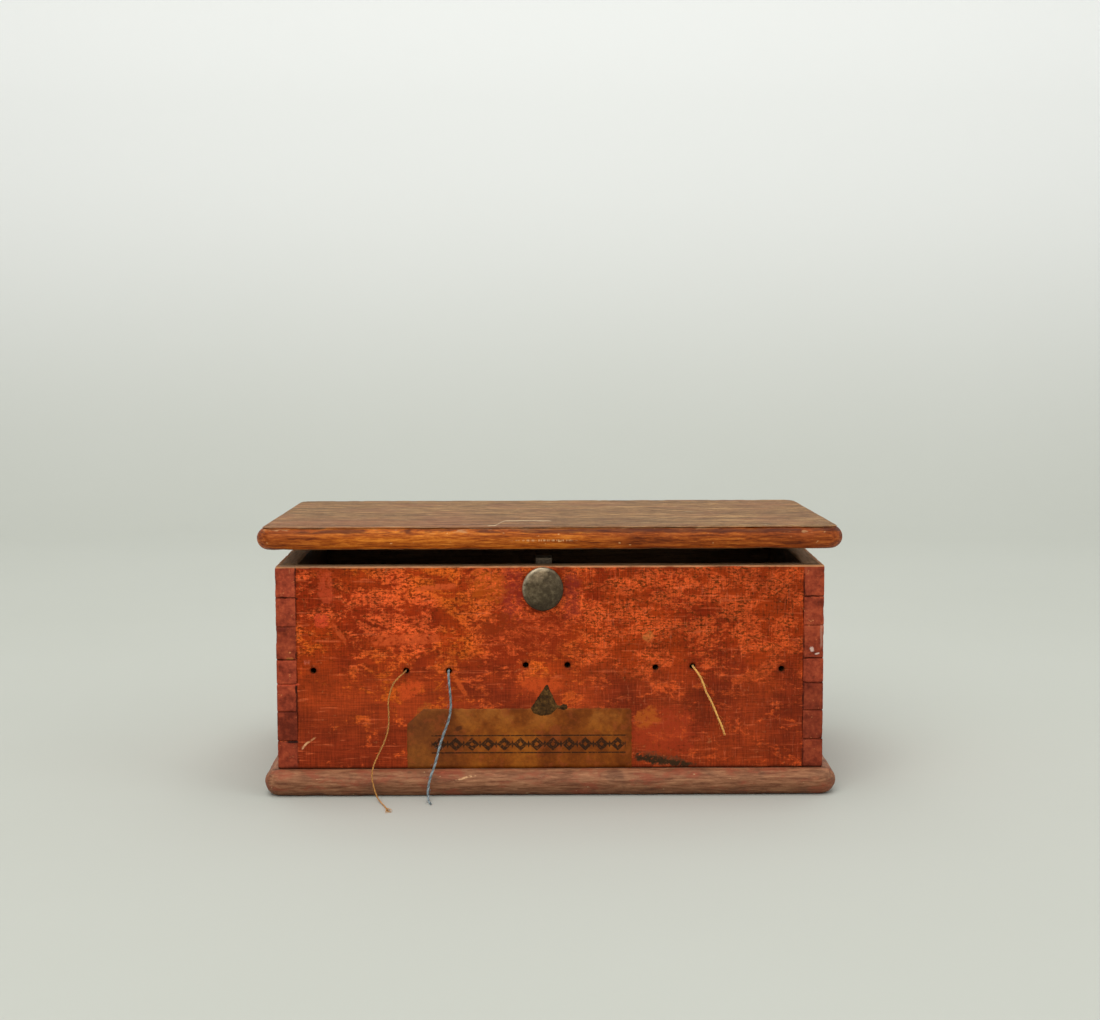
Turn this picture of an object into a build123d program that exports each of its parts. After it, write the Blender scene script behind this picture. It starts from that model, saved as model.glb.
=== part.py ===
from build123d import *
import os
from math import degrees, pi, radians, tan

# A dovetailed wooden box that pays out thread from eight bobbins through holes in its front.
# The row's origin is the centre of the base board's underside. +X is to the right of someone who
# faces the front, +Y goes to the back and +Z is up. All lengths are in millimetres.
# At rest the lid stands slightly open, and the catch and the button are released.

# Walls
box_width = 266.0
box_depth = 155.5
wall_height = 99.5
board = 9.8
corner_wear = 1.0
rim_wear = 0.8

# Base board, with a half-round edge
base_thick = 12.8
base_overhang = 6.5
base_corner = 9.0

# Lid board, with a half-round edge that meets the flat top at an arris
lid_thick = 11.2
lid_overhang = 8.4
lid_corner = 9.0
lid_arris = 0.5
lid_tilt = 1.33

# Hand-cut dovetails: heights of the seams on the front and back faces
seam_heights = (26.6, 41.1, 54.5, 66.8, 82.8, 97.2)
pin_splay = 1.6

# Partitions, and the slots that the bobbin rod drops into
divider = 4.0
divider_height = 72.0
divider_centres = (-59.5, -1.8, 60.0)
housing = 2.0
rod_radius = 3.0
rod_z = 61.0
rod_clear = 0.15
cleat = 5.0
cleat_width = 24.0
cleat_low = 46.0
cleat_high = 76.0

# Bobbins
bobbin_length = 25.0
flange_radius = 20.0
flange = 3.0
barrel_radius = 8.0
bobbin_clear = 0.08
winding_radii = (14.5, 13.0, 12.6, 15.0, 14.0, 15.6, 13.4, 14.8)
winding_crown = 0.8
winding_gap = 0.1

# Thread holes in the front board, as drilled by hand: X and Z of each
thread_hole_radius = 1.5
thread_holes = (
    (-115.0, 61.4),
    (-69.9, 61.2),
    (-49.2, 61.1),
    (-11.9, 63.8),
    (8.4, 63.7),
    (51.2, 62.4),
    (69.2, 62.9),
    (112.5, 61.5),
)

# Butt hinges, laid on the back board's top edge
hinge_spread = 82.0
leaf_length = 25.0
leaf_width = 9.0
leaf = 1.4
knuckles = 5
knuckle_radius = 2.4
knuckle_gap = 0.15
leaf_relief = 0.2
pin_radius = 1.0
pin_clear = 0.05

# Wood screws: head radius, shank radius, head height and the width and depth of the slot
screw_head = 2.5
screw_shank = 1.3
screw_cone = 1.2
screw_slot = 0.6
screw_slot_depth = 0.5
screw_slot_turn = 30.0

# Spring catch: a strip behind the front board whose hooked end reaches into the lid
catch_x = -2.9
strip_width = 8.0
strip = 1.0
foot_low = 68.0
flex_z = 82.5
flex_gap = 0.05
hook_top = 116.2
hook_thick = 2.15
hook_reach = 2.6
hook_slope = 1.1
notch_depth = 8.0
notch_low = 65.0

# Push button
button_x = -3.5
button_z = 101.5
button_radius = 10.0
button_stretch = 1.075
button_dome = 3.4
button_rim = 1.2
button_stand = 2.3
stem_radius = 2.25
stem_clear = 0.06
stem_tip_gap = 0.05
stem_tip_sphere = 8.0
collar_radius = 3.4
collar_thick = 0.5

# Strike plate, let in flush under the lid, and the mortise above it
strike_length = 30.0
strike_low_y = -72.3
strike_high_y = -57.5
strike = 1.2
slot_width = 10.4
slot_low_y = -68.3
slot_high_y = -61.5
mortise_margin = 1.0
mortise_low_y = -71.8
mortise_deep = 5.6

# Nails that hold the base board to the walls
nail_radius = 1.0
nail_head_radius = 2.2
nail_head = 0.8
nail_sunk = 0.3
nail_grip = 12.0

# Paper label and the small remnant above it, both glued to the front
paper = 0.15
label_left = -69.8
label_right = 39.6
label_top = 42.4
label_cut_x = 8.3
label_cut_z = 7.5
label_lift = 0.1
remnant = 0.35

# Worked out from the values above
front_y = -box_depth / 2
back_y = box_depth / 2
inner_y = back_y - board
end_x = box_width / 2
inner_x = end_x - board
rim_z = base_thick + wall_height
hinge_y = back_y + knuckle_radius + leaf_relief
hinge_z = rim_z + knuckle_radius
lid_under = rim_z + 2 * knuckle_radius
lid_width = box_width + 2 * lid_overhang
lid_depth = box_depth + 2 * lid_overhang
strip_front = -inner_y + strip
strip_back = strip_front + strip
bore_radius = rod_radius + bobbin_clear

# Threads: each route is a list of points (X, distance in front of the front face, Z)
thread_tan_size = 0.8
thread_tan_route = [
    (-73.4, -77.7, 74.8),
    (-72.7, -58.2, 73.2),
    (-71.5, -37.0, 67.6),
    (-70.2, -15.8, 62.3),
    (-69.9, -3.6, 61.3),
    (-70.3, 2.8, 61.1),
    (-72.4, 4.6, 59.7),
    (-75.2, 4.6, 57.1),
    (-77.4, 3.8, 52.6),
    (-78.8, 3.0, 46.6),
    (-78.4, 2.7, 40.2),
    (-78.6, 2.8, 33.6),
    (-80.4, 3.4, 27.2),
    (-83.2, 5.0, 21.6),
    (-85.7, 8.0, 16.6),
    (-86.6, 10.2, 11.4),
    (-85.4, 11.0, 6.2),
    (-83.6, 13.6, 1.7),
    (-81.0, 19.0, 0.5),
    (-78.3, 27.6, 0.5),
    (-76.3, 35.6, 0.5),
]
thread_blue_size = 1.35
thread_blue_route = [
    (-47.2, -77.7, 74.9),
    (-47.7, -58.2, 73.0),
    (-48.3, -37.0, 67.2),
    (-49.1, -16.0, 62.1),
    (-49.2, -3.6, 61.1),
    (-49.3, 3.2, 60.9),
    (-49.0, 6.2, 57.6),
    (-48.6, 5.8, 52.6),
    (-48.2, 4.4, 47.2),
    (-48.4, 3.6, 41.6),
    (-49.7, 3.4, 36.2),
    (-51.8, 3.7, 31.0),
    (-53.6, 4.8, 25.6),
    (-54.9, 6.8, 20.6),
    (-56.0, 9.0, 16.2),
    (-57.8, 10.6, 12.0),
    (-58.9, 10.9, 8.0),
    (-59.3, 11.9, 4.2),
    (-59.0, 14.4, 1.5),
    (-58.4, 18.2, 0.75),
    (-57.3, 21.6, 0.75),
]
thread_yellow_size = 1.3
thread_yellow_route = [
    (75.0, -77.7, 75.6),
    (73.9, -58.2, 73.8),
    (72.3, -37.0, 68.4),
    (70.2, -16.0, 63.9),
    (69.3, -3.6, 62.9),
    (69.6, 3.2, 62.9),
    (72.0, 6.0, 59.9),
    (73.9, 5.6, 56.0),
    (75.3, 4.4, 51.3),
    (77.9, 3.2, 46.8),
    (79.9, 2.7, 42.2),
    (81.8, 2.5, 37.4),
    (84.0, 2.4, 32.6),
    (84.9, 2.4, 29.2),
]
arc_share = 0.45


def block(x, y, z):
    """A box between two values along each axis."""
    centre = [(low + high) / 2 for low, high in (x, y, z)]
    size = [high - low for low, high in (x, y, z)]
    return Pos(*centre) * Box(*size)


def prism_yz(points, x_low, x_high):
    """A prism along X over an outline of (Y, Z) points."""
    outline = make_face(Plane.YZ * Polyline(*points, close=True))
    return Pos(x_low, 0, 0) * extrude(outline, amount=x_high - x_low, dir=(1, 0, 0))


def turned(points, centre, direction):
    """A solid of revolution: points are (distance along direction, radius) from centre."""
    outline = make_face(Plane.XZ * Polyline(*points, close=True))
    solid = revolve(outline, Axis.X)
    return Plane(origin=centre, z_dir=direction) * Rot(0, -90, 0) * solid


def rod(radius, start, end):
    """A plain cylinder from start to end."""
    axis = Vector(*end) - Vector(*start)
    plane = Plane(origin=start, z_dir=axis)
    return plane * Cylinder(radius, axis.length, align=(Align.CENTER, Align.CENTER, Align.MIN))


def screw_room(head_face, direction, length):
    """A countersunk screw with no slot, which is also the hole that it fills.

    head_face is the centre of its flat head, and direction points to its tip."""
    outline = [
        (0, 0),
        (0, screw_head),
        (screw_cone, screw_shank),
        (length - screw_shank, screw_shank),
        (length, 0),
    ]
    return turned(outline, head_face, direction)


def wood_screw(head_face, direction, length):
    """A countersunk screw with a slotted head."""
    slot = Box(2 * screw_head + 1, screw_slot, 2 * screw_slot_depth)
    place = Plane(origin=head_face, z_dir=direction) * Rot(0, 0, screw_slot_turn)
    return screw_room(head_face, direction, length) - place * slot


def half_round_slab(width, depth, thick, corner):
    """A board on Z = 0 with rounded plan corners and a half-round edge all round."""
    slab = extrude(RectangleRounded(width, depth, corner), amount=thick)
    edges = slab.edges().group_by(Axis.Z)
    return fillet(edges[0] + edges[-1], thick / 2 - 0.05)


# --- Walls -------------------------------------------------------------------------------------


def carcase_form():
    """The outside of the four walls together, with worn upright corners and a worn rim."""
    plan = RectangleRounded(box_width, box_depth, corner_wear)
    form = Pos(0, 0, base_thick) * extrude(plan, amount=wall_height)
    return fillet(form.edges().group_by(Axis.Z)[-1], rim_wear)


def dovetail_pins(face_y):
    """The pins at both ends of the front or back board, wider on the inside than on the face."""
    inside = face_y + board if face_y < 0 else face_y - board
    heights = (base_thick, *seam_heights, rim_z)
    pins = []
    for low, high in list(zip(heights, heights[1:]))[::2]:
        low_inside = low if low == base_thick else low - pin_splay
        high_inside = high if high == rim_z else high + pin_splay
        outline = [(face_y, low), (inside, low_inside), (inside, high_inside), (face_y, high)]
        pins.append(prism_yz(outline, -end_x, -inner_x))
        pins.append(prism_yz(outline, inner_x, end_x))
    return pins


def divider_blank(x):
    """One partition, housed in grooves in the front and back boards, with the rod's slot."""
    reach = inner_y + housing
    top = base_thick + divider_height
    half = divider / 2
    slot = rod_radius + rod_clear
    blank = block((x - half, x + half), (-reach, reach), (base_thick, top))
    blank -= rod(slot, (x - divider, 0, rod_z), (x + divider, 0, rod_z))
    return blank - block((x - divider, x + divider), (-slot, slot), (rod_z, top + 1))


def make_dividers():
    """The three partitions. The middle one is notched behind the spring catch."""
    left, middle, right = [divider_blank(x) for x in divider_centres]
    x = divider_centres[1]
    notch_x = (x - divider, x + divider)
    notch_y = (-inner_y - housing - 1, -inner_y + notch_depth)
    middle -= block(notch_x, notch_y, (notch_low, rim_z))
    return {"divider_left": left, "divider_middle": middle, "divider_right": right}


def long_board(face_y):
    """The front or back board, before its holes."""
    inside = face_y + board if face_y < 0 else face_y - board
    panel = block((-inner_x, inner_x), sorted((face_y, inside)), (base_thick, rim_z))
    for pin in dovetail_pins(face_y):
        panel += pin
    return panel & carcase_form()


def end_board(side):
    """The left (-1) or right (+1) board, with the tails left between the pins."""
    faces = sorted((side * inner_x, side * end_x))
    panel = block(faces, (front_y, back_y), (base_thick, rim_z))
    for pin in dovetail_pins(front_y) + dovetail_pins(back_y):
        panel -= pin
    return panel & carcase_form()


# --- Bobbins -----------------------------------------------------------------------------------


def bobbin_centres():
    """Where the bobbins stand along the rod: two in each compartment, evenly spaced."""
    half = divider / 2
    edges = [-inner_x + cleat]
    for x in divider_centres:
        edges += [x - half, x + half]
    edges.append(inner_x - cleat)
    centres = []
    for low, high in zip(edges[::2], edges[1::2]):
        gap = (high - low - 2 * bobbin_length) / 3
        centres += [low + gap + bobbin_length / 2, high - gap - bobbin_length / 2]
    return centres


def make_bobbin(x):
    """A turned bobbin: a barrel and two flanges with rounded rims, bored for the rod."""
    half = bobbin_length / 2
    start = (x - half, 0, rod_z)
    inner = flange
    outer = bobbin_length - flange
    outline = [
        (0, bore_radius),
        (0, flange_radius),
        (inner, flange_radius),
        (inner, barrel_radius),
        (outer, barrel_radius),
        (outer, flange_radius),
        (bobbin_length, flange_radius),
        (bobbin_length, bore_radius),
    ]
    solid = turned(outline, start, (1, 0, 0))
    rims = solid.edges().filter_by(
        lambda edge: edge.geom_type == GeomType.CIRCLE and abs(edge.radius - flange_radius) < 0.01
    )
    return fillet(rims, flange / 2 - 0.2)


def make_winding(x, radius):
    """Thread wound on a bobbin: a crowned sleeve between the flanges."""
    half = bobbin_length / 2 - flange - winding_gap
    crown = ThreePointArc((-half, radius - winding_crown), (0, radius), (half, radius - winding_crown))
    sides = Polyline(
        (half, radius - winding_crown),
        (half, barrel_radius),
        (-half, barrel_radius),
        (-half, radius - winding_crown),
    )
    outline = make_face(crown.edges() + sides.edges())
    return Pos(x, 0, rod_z) * revolve(outline, Axis.X)


def make_cleat(side):
    """The slotted block on an end board that holds the rod's end."""
    faces = sorted((side * inner_x, side * (inner_x - cleat)))
    slot = rod_radius + rod_clear
    wide = (faces[0] - 1, faces[1] + 1)
    half = cleat_width / 2
    blank = block(faces, (-half, half), (cleat_low, cleat_high))
    blank -= rod(slot, (wide[0], 0, rod_z), (wide[1], 0, rod_z))
    return blank - block(wide, (-slot, slot), (rod_z, cleat_high + 1))


def cleat_screw_places():
    """Head, direction and length of the four screws that hold the cleats."""
    places = []
    for side in (-1, 1):
        for y in (-8.0, 8.0):
            places.append(((side * (inner_x - cleat), y, cleat_low + 6), (side, 0, 0), 12.0))
    return places


# --- Lid and hinges, drawn with the lid level and then tilted about the hinge pins --------------


def make_lid():
    """The lid board with its mortise and the recess for the strike plate."""
    slab = half_round_slab(lid_width, lid_depth, lid_thick + lid_arris, lid_corner)
    slab -= Pos(0, 0, lid_thick + 5) * Box(lid_width + 10, lid_depth + 10, 10)
    slab = Pos(0, 0, lid_under) * slab
    half = slot_width / 2 + mortise_margin
    mortise_y = (mortise_low_y, slot_high_y + mortise_margin)
    slab -= block((catch_x - half, catch_x + half), mortise_y, (lid_under, lid_under + mortise_deep))
    return slab - strike_blank()


def strike_blank():
    """The strike plate's outline, with no slot."""
    half = strike_length / 2
    plate_x = (catch_x - half, catch_x + half)
    return block(plate_x, (strike_low_y, strike_high_y), (lid_under, lid_under + strike))


def make_strike():
    """The strike plate, with the slot that the hook passes through."""
    half = slot_width / 2
    slot_z = (lid_under - 1, lid_under + strike + 1)
    return strike_blank() - block((catch_x - half, catch_x + half), (slot_low_y, slot_high_y), slot_z)


def strike_screw_places():
    """Head, direction and length of the two screws through the strike plate."""
    y = (strike_low_y + strike_high_y) / 2
    return [((catch_x + dx, y, lid_under), (0, 0, 1), 8.0) for dx in (-11.0, 11.0)]


def make_leaf(x, upper):
    """A hinge leaf with its share of the knuckles: odd ones above, even ones below."""
    z_face = lid_under if upper else rim_z
    inside = z_face - leaf if upper else z_face + leaf
    z = sorted((z_face, inside))
    start = x - leaf_length / 2
    solid = block((start, start + leaf_length), (back_y - leaf_width, back_y), z)
    pitch = leaf_length / knuckles
    bore = pin_radius + pin_clear if upper else pin_radius
    for number in range(1 if upper else 0, knuckles, 2):
        low = start + number * pitch + (knuckle_gap if number else 0)
        last = number == knuckles - 1
        high = start + (number + 1) * pitch - (0 if last else knuckle_gap)
        solid += rod(knuckle_radius, (low, hinge_y, hinge_z), (high, hinge_y, hinge_z))
        solid += block((low, high), (back_y - 1, hinge_y), z)
    return solid - rod(bore, (start - 1, hinge_y, hinge_z), (start + leaf_length + 1, hinge_y, hinge_z))


def make_hinge_pin(x):
    """The pin through one hinge's knuckles."""
    half = leaf_length / 2
    return rod(pin_radius, (x - half, hinge_y, hinge_z), (x + half, hinge_y, hinge_z))


def hinge_screw_places(upper):
    """Head, direction and length of the four screws of the upper or the lower leaves."""
    z = lid_under - leaf if upper else rim_z + leaf
    direction = (0, 0, 1) if upper else (0, 0, -1)
    length = 9.5 if upper else 14.0
    places = []
    for x in (-hinge_spread, hinge_spread):
        for dx in (-7.5, 7.5):
            places.append(((x + dx, back_y - leaf_width / 2, z), direction, length))
    return places


def tilt(shape):
    """Opens a piece that was drawn with the lid level to the lid's rest angle."""
    return shape.rotate(Axis((0, hinge_y, hinge_z), (-1, 0, 0)), lid_tilt)


# --- Button and catch --------------------------------------------------------------------------


def button_axis(depth):
    """The point on the button's axis this far behind the front face."""
    return (button_x, front_y + depth, button_z)


def make_button_cap():
    """The domed disc, drawn round and then stretched upright to its hand-forged outline."""
    arc = ThreePointArc((0, button_dome), (button_radius * 0.6, button_dome * 0.8), (button_radius, button_rim))
    sides = Polyline((button_radius, button_rim), (button_radius, 0), (0, 0), (0, button_dome))
    outline = make_face(arc.edges() + sides.edges())
    cap = revolve(Plane.XZ * outline, Axis.Z)
    rim = cap.edges().group_by(Axis.Z)[0]
    cap = scale(fillet(rim, 0.5), by=(1, button_stretch, 1))
    face = button_axis(-button_stand)
    place = Plane(origin=face, x_dir=(1, 0, 0), z_dir=(0, -1, 0))
    return place * cap


def make_button_stem():
    """The stem from the cap's back to its domed tip just short of the catch strip."""
    tip_y = strip_front - stem_tip_gap
    start = button_axis(-button_stand)
    stem = rod(stem_radius, start, (button_x, tip_y, button_z))
    ball = Pos(button_x, tip_y - stem_tip_sphere, button_z) * Sphere(stem_tip_sphere)
    keep = rod(stem_radius + 1, start, (button_x, tip_y - 1, button_z))
    return stem & (keep + ball)


def make_button_collar():
    """The ring on the stem, behind the front board, that keeps the button in."""
    ring = rod(collar_radius, (button_x, -inner_y, button_z), (button_x, -inner_y + collar_thick, button_z))
    return ring - rod(stem_radius, (button_x, -inner_y - 1, button_z), (button_x, strip_front, button_z))


def catch_screw_places():
    """Head, direction and length of the two screws through the strip's foot."""
    return [((catch_x, strip_front + 0.3, z), (0, -1, 0), 9.0) for z in (foot_low + 3.6, flex_z - 3.8)]


def make_catch_foot():
    """The fixed part of the spring strip, flat on the board, up to the line where it flexes."""
    half = strip_width / 2
    x = (catch_x - half, catch_x + half)
    foot = block(x, (-inner_y, strip_front), (foot_low, flex_z))
    return foot + block(x, (-inner_y, strip_back), (flex_z - strip, flex_z))


def make_catch_arm():
    """The moving part of the spring strip, with the hook that faces forward at its top."""
    half = strip_width / 2
    hook_low = hook_top - hook_thick
    hook_front = strip_front - hook_reach
    outline = [
        (strip_back, flex_z + flex_gap),
        (strip_back, hook_top - 0.3),
        (strip_back - 0.3, hook_top),
        (strip_front - 0.4, hook_top),
        (hook_front, hook_top - hook_slope),
        (hook_front, hook_low),
        (strip_front, hook_low),
        (strip_front, flex_z + flex_gap),
    ]
    return prism_yz(outline, catch_x - half, catch_x + half)


# --- Nails, label and remnant ------------------------------------------------------------------


def nail_places():
    """X and Y of the nails that come up through the base board into the walls."""
    wall_y = back_y - board / 2
    wall_x = end_x - board / 2
    places = [(x, side * wall_y) for side in (-1, 1) for x in (-100.0, -35.0, 35.0, 100.0)]
    return places + [(side * wall_x, y) for side in (-1, 1) for y in (-35.0, 35.0)]


def make_nail(x, y):
    """One nail, its head just inside the base board's underside."""
    head = rod(nail_head_radius, (x, y, nail_sunk), (x, y, nail_sunk + nail_head))
    return head + rod(nail_radius, (x, y, nail_sunk), (x, y, base_thick + nail_grip))


def nail_room(x, y):
    """The hole that a nail fills, open at the base board's underside."""
    head = rod(nail_head_radius, (x, y, -1), (x, y, nail_sunk + nail_head))
    return head + rod(nail_radius, (x, y, 0), (x, y, base_thick + nail_grip))


def on_front(outline, thick):
    """A thin piece on the front face over an outline of (X, Z) edges."""
    face = Plane.XZ * make_face(outline)
    return Pos(0, front_y, 0) * extrude(face, amount=thick, dir=(0, -1, 0))


def make_remnant():
    """A worn triangle with a rounded foot and a small blob joined to its right corner."""
    outline = Polyline((-9.5, 42.6), (-1.7, 54.2), (3.3, 43.7)).edges()
    outline += ThreePointArc((3.3, 43.7), (-2.6, 38.7), (-9.5, 42.6)).edges()
    body = on_front(outline, remnant)
    blob = rod(1.8, (6.8, front_y, 43.0), (6.8, front_y - remnant, 43.0))
    link = block((2.6, 6.8), (front_y - remnant, front_y), (42.9, 43.6))
    return body + blob + link


def make_label():
    """The paper label, with one corner cut and the remnant lying over its top edge."""
    low = base_thick + label_lift
    outline = Polyline(
        (label_left, low),
        (label_right, low),
        (label_right, label_top),
        (label_left + label_cut_x, label_top),
        (label_left, label_top - label_cut_z),
        close=True,
    )
    return on_front(outline, paper) - make_remnant()


# --- Threads -----------------------------------------------------------------------------------


def route_points(route):
    """The route's points in the row's frame."""
    return [Vector(x, front_y - ahead, z) for x, ahead, z in route]


def corner_radii(points):
    """Each corner's arc takes a fixed share of its shorter run."""
    radii = []
    for before, corner, after in zip(points, points[1:], points[2:]):
        run_in = corner - before
        run_out = after - corner
        half_turn = radians(run_in.get_angle(run_out)) / 2
        radii.append(arc_share * min(run_in.length, run_out.length) / tan(half_turn))
    return radii


def make_thread(name, route, size):
    """A round thread along straight runs and tangent arcs, with its measures printed."""
    points = route_points(route)
    radii = corner_radii(points)
    path = FilletPolyline(*points, radius=radii)
    section = Plane(origin=path @ 0, z_dir=path % 0) * Circle(size / 2)
    tube = sweep(section, path=path)
    expected = pi * (size / 2) ** 2 * path.length
    print(name, "length", round(path.length, 1), "volume over expected", round(tube.volume / expected, 4))
    print("  radii", [round(r, 1) for r in radii], "smallest over diameter", round(min(radii) / size, 1))
    return tube


# --- Assembly ----------------------------------------------------------------------------------


def screws(places):
    """A group of separate screws as one node."""
    return Compound([wood_screw(*place).solid() for place in places])


def without(solid, rooms):
    """solid with each of the rooms cut from it."""
    for room in rooms:
        solid -= room
    return solid


def build():
    """Every node by name."""
    nodes = make_dividers()
    dividers = list(nodes.values())
    nails = [nail_room(x, y) for x, y in nail_places()]
    catch_rooms = [screw_room(*place) for place in catch_screw_places()]
    cleat_rooms = [screw_room(*place) for place in cleat_screw_places()]
    strike_rooms = [screw_room(*place) for place in strike_screw_places()]
    lower_rooms = [screw_room(*place) for place in hinge_screw_places(False)]
    upper_rooms = [screw_room(*place) for place in hinge_screw_places(True)]

    base = half_round_slab(
        box_width + 2 * base_overhang, box_depth + 2 * base_overhang, base_thick, base_corner
    )
    nodes["base_board"] = without(base, nails)

    holes = [
        rod(thread_hole_radius, (x, front_y - 1, z), (x, -inner_y + 1, z)) for x, z in thread_holes
    ]
    stem_hole = rod(stem_radius + stem_clear, button_axis(-1), button_axis(board + 1))
    front_cuts = nails + dividers + holes + [stem_hole] + catch_rooms
    nodes["front_board"] = without(long_board(front_y), front_cuts)
    nodes["back_board"] = without(long_board(back_y), nails + dividers + lower_rooms)
    nodes["left_end_board"] = without(end_board(-1), nails + cleat_rooms)
    nodes["right_end_board"] = without(end_board(1), nails + cleat_rooms)
    nodes["rod_cleat_left"] = without(make_cleat(-1), cleat_rooms)
    nodes["rod_cleat_right"] = without(make_cleat(1), cleat_rooms)
    nodes["cleat_screws"] = screws(cleat_screw_places())
    rod_end = inner_x - 0.3
    nodes["bobbin_rod"] = rod(rod_radius, (-rod_end, 0, rod_z), (rod_end, 0, rod_z))

    for number, (x, radius) in enumerate(zip(bobbin_centres(), winding_radii), 1):
        nodes[f"bobbin_{number}"] = make_bobbin(x)
        nodes[f"thread_winding_{number}"] = make_winding(x, radius)

    nodes["lid_board"] = tilt(without(make_lid(), strike_rooms + upper_rooms))
    nodes["strike_plate"] = tilt(without(make_strike(), strike_rooms))
    nodes["strike_screws"] = tilt(screws(strike_screw_places()))
    for side, x in (("left", -hinge_spread), ("right", hinge_spread)):
        nodes[f"hinge_{side}_lower_leaf"] = without(make_leaf(x, False), lower_rooms)
        nodes[f"hinge_{side}_upper_leaf"] = tilt(without(make_leaf(x, True), upper_rooms))
        nodes[f"hinge_{side}_pin"] = make_hinge_pin(x)
    nodes["hinge_lower_screws"] = screws(hinge_screw_places(False))
    nodes["hinge_upper_screws"] = tilt(screws(hinge_screw_places(True)))

    nodes["button_cap"] = make_button_cap()
    nodes["button_stem"] = make_button_stem()
    nodes["button_collar"] = make_button_collar()
    nodes["catch_foot"] = without(make_catch_foot(), catch_rooms)
    nodes["catch_arm"] = make_catch_arm()
    nodes["catch_screws"] = screws(catch_screw_places())

    nodes["base_nails"] = Compound([make_nail(x, y).solid() for x, y in nail_places()])
    nodes["paper_label"] = make_label()
    nodes["triangle_patch"] = make_remnant()
    nodes["thread_tan"] = make_thread("thread_tan", thread_tan_route, thread_tan_size)
    nodes["thread_blue"] = make_thread("thread_blue", thread_blue_route, thread_blue_size)
    nodes["thread_yellow"] = make_thread("thread_yellow", thread_yellow_route, thread_yellow_size)
    return nodes


def report():
    """Prints the figures that the record repeats."""
    throw = degrees((strip_front - strip_back) / (button_z - flex_z))
    print("hinge axis y, z:", round(hinge_y, 3), round(hinge_z, 3))
    print("catch axis y, z:", round(strip_back, 3), flex_z)
    print("catch turn for a press of one strip thickness, degrees:", round(abs(throw), 3))
    print("bobbin centres:", [round(x, 2) for x in bobbin_centres()])


os.makedirs("parts", exist_ok=True)
for node_name, shape in build().items():
    shape.label = node_name
    export_step(shape, f"parts/{node_name}.step")
report()
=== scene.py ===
import math
import random

import bmesh
import bpy
import numpy as np
from mathutils import Matrix, Vector, noise
from mathutils.geometry import delaunay_2d_cdt


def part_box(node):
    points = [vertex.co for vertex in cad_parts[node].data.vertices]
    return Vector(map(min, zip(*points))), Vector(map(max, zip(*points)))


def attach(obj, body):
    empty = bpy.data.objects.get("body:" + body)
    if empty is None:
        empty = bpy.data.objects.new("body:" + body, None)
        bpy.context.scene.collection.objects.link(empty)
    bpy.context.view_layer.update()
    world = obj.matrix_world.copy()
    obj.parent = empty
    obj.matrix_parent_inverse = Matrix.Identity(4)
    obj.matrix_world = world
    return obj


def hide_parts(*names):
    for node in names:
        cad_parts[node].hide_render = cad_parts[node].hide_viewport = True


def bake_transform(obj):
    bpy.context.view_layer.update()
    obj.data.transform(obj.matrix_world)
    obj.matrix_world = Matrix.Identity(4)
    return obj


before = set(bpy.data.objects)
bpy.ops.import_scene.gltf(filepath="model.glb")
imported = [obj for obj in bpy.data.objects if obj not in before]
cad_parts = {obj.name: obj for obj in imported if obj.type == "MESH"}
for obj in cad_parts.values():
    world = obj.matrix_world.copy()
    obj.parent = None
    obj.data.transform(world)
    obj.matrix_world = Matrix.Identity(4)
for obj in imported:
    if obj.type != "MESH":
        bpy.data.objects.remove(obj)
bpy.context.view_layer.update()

# The look of the bobbin box: an old painted box with a worn lid. All lengths are in metres.

# Taken from the frame
wall_low, wall_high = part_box("front_board")
FRONT_Y = wall_low.y
END_X = wall_high.x
FOOT_Z = wall_low.z
RIM_Z = wall_high.z
BOARD = wall_high.y - wall_low.y
BACK_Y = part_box("back_board")[1].y
BUTTON_LOW, BUTTON_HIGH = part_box("button_cap")
BUTTON = (BUTTON_LOW + BUTTON_HIGH) / 2

# Heights of the dovetail seams, and how dark each one has gone
SEAM_HEIGHTS = (0.0266, 0.0411, 0.0545, 0.0668, 0.0828, 0.0972)
SEAM_STRENGTHS = (1.0, 0.4, 0.6, 0.8, 0.5, 0.9)

# The thread holes' radius, and their places (X, Z) on the front board
HOLE_RADIUS = 0.0015
HOLES = (
    (-0.1150, 0.0614),
    (-0.0699, 0.0612),
    (-0.0492, 0.0611),
    (-0.0119, 0.0638),
    (0.0084, 0.0637),
    (0.0512, 0.0624),
    (0.0692, 0.0629),
    (0.1125, 0.0615),
)

# The lid and base boards. The lid is drawn level and then opened by its tilt about the hinge.
LID_THICK = 0.0112
LID_OVERHANG = 0.0084
LID_UNDER = 0.1171
LID_CORNER = 0.009
LID_TILT = math.radians(1.33)
HINGE_Y = 0.08035
HINGE_Z = 0.1147
BASE_OVERHANG = 0.0065
BASE_CORNER = 0.009

# An edge that turns by more than this shows as a crease
CREASE = math.radians(40)


# --- Helpers -----------------------------------------------------------------------------------


def srgb(red, green, blue):
    """The linear colour that a shader takes, from sRGB bytes."""
    shares = [byte / 255 for byte in (red, green, blue)]
    linear = [s / 12.92 if s <= 0.04045 else ((s + 0.055) / 1.055) ** 2.4 for s in shares]
    return (*linear, 1.0)


def add_object(name, data):
    """A new object in the scene."""
    piece = bpy.data.objects.new(name, data)
    bpy.context.scene.collection.objects.link(piece)
    return piece


def add_mesh(name, points, faces):
    """A new smooth mesh object from points and faces."""
    mesh = bpy.data.meshes.new(name)
    mesh.from_pydata([tuple(point) for point in points], [], faces)
    mesh.validate()
    mesh.shade_smooth()
    return add_object(name, mesh)


def apply_modifiers(piece):
    """Turns the piece into the mesh that its modifiers make."""
    graph = bpy.context.evaluated_depsgraph_get()
    mesh = bpy.data.meshes.new_from_object(piece.evaluated_get(graph))
    piece.modifiers.clear()
    piece.data = mesh


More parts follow.
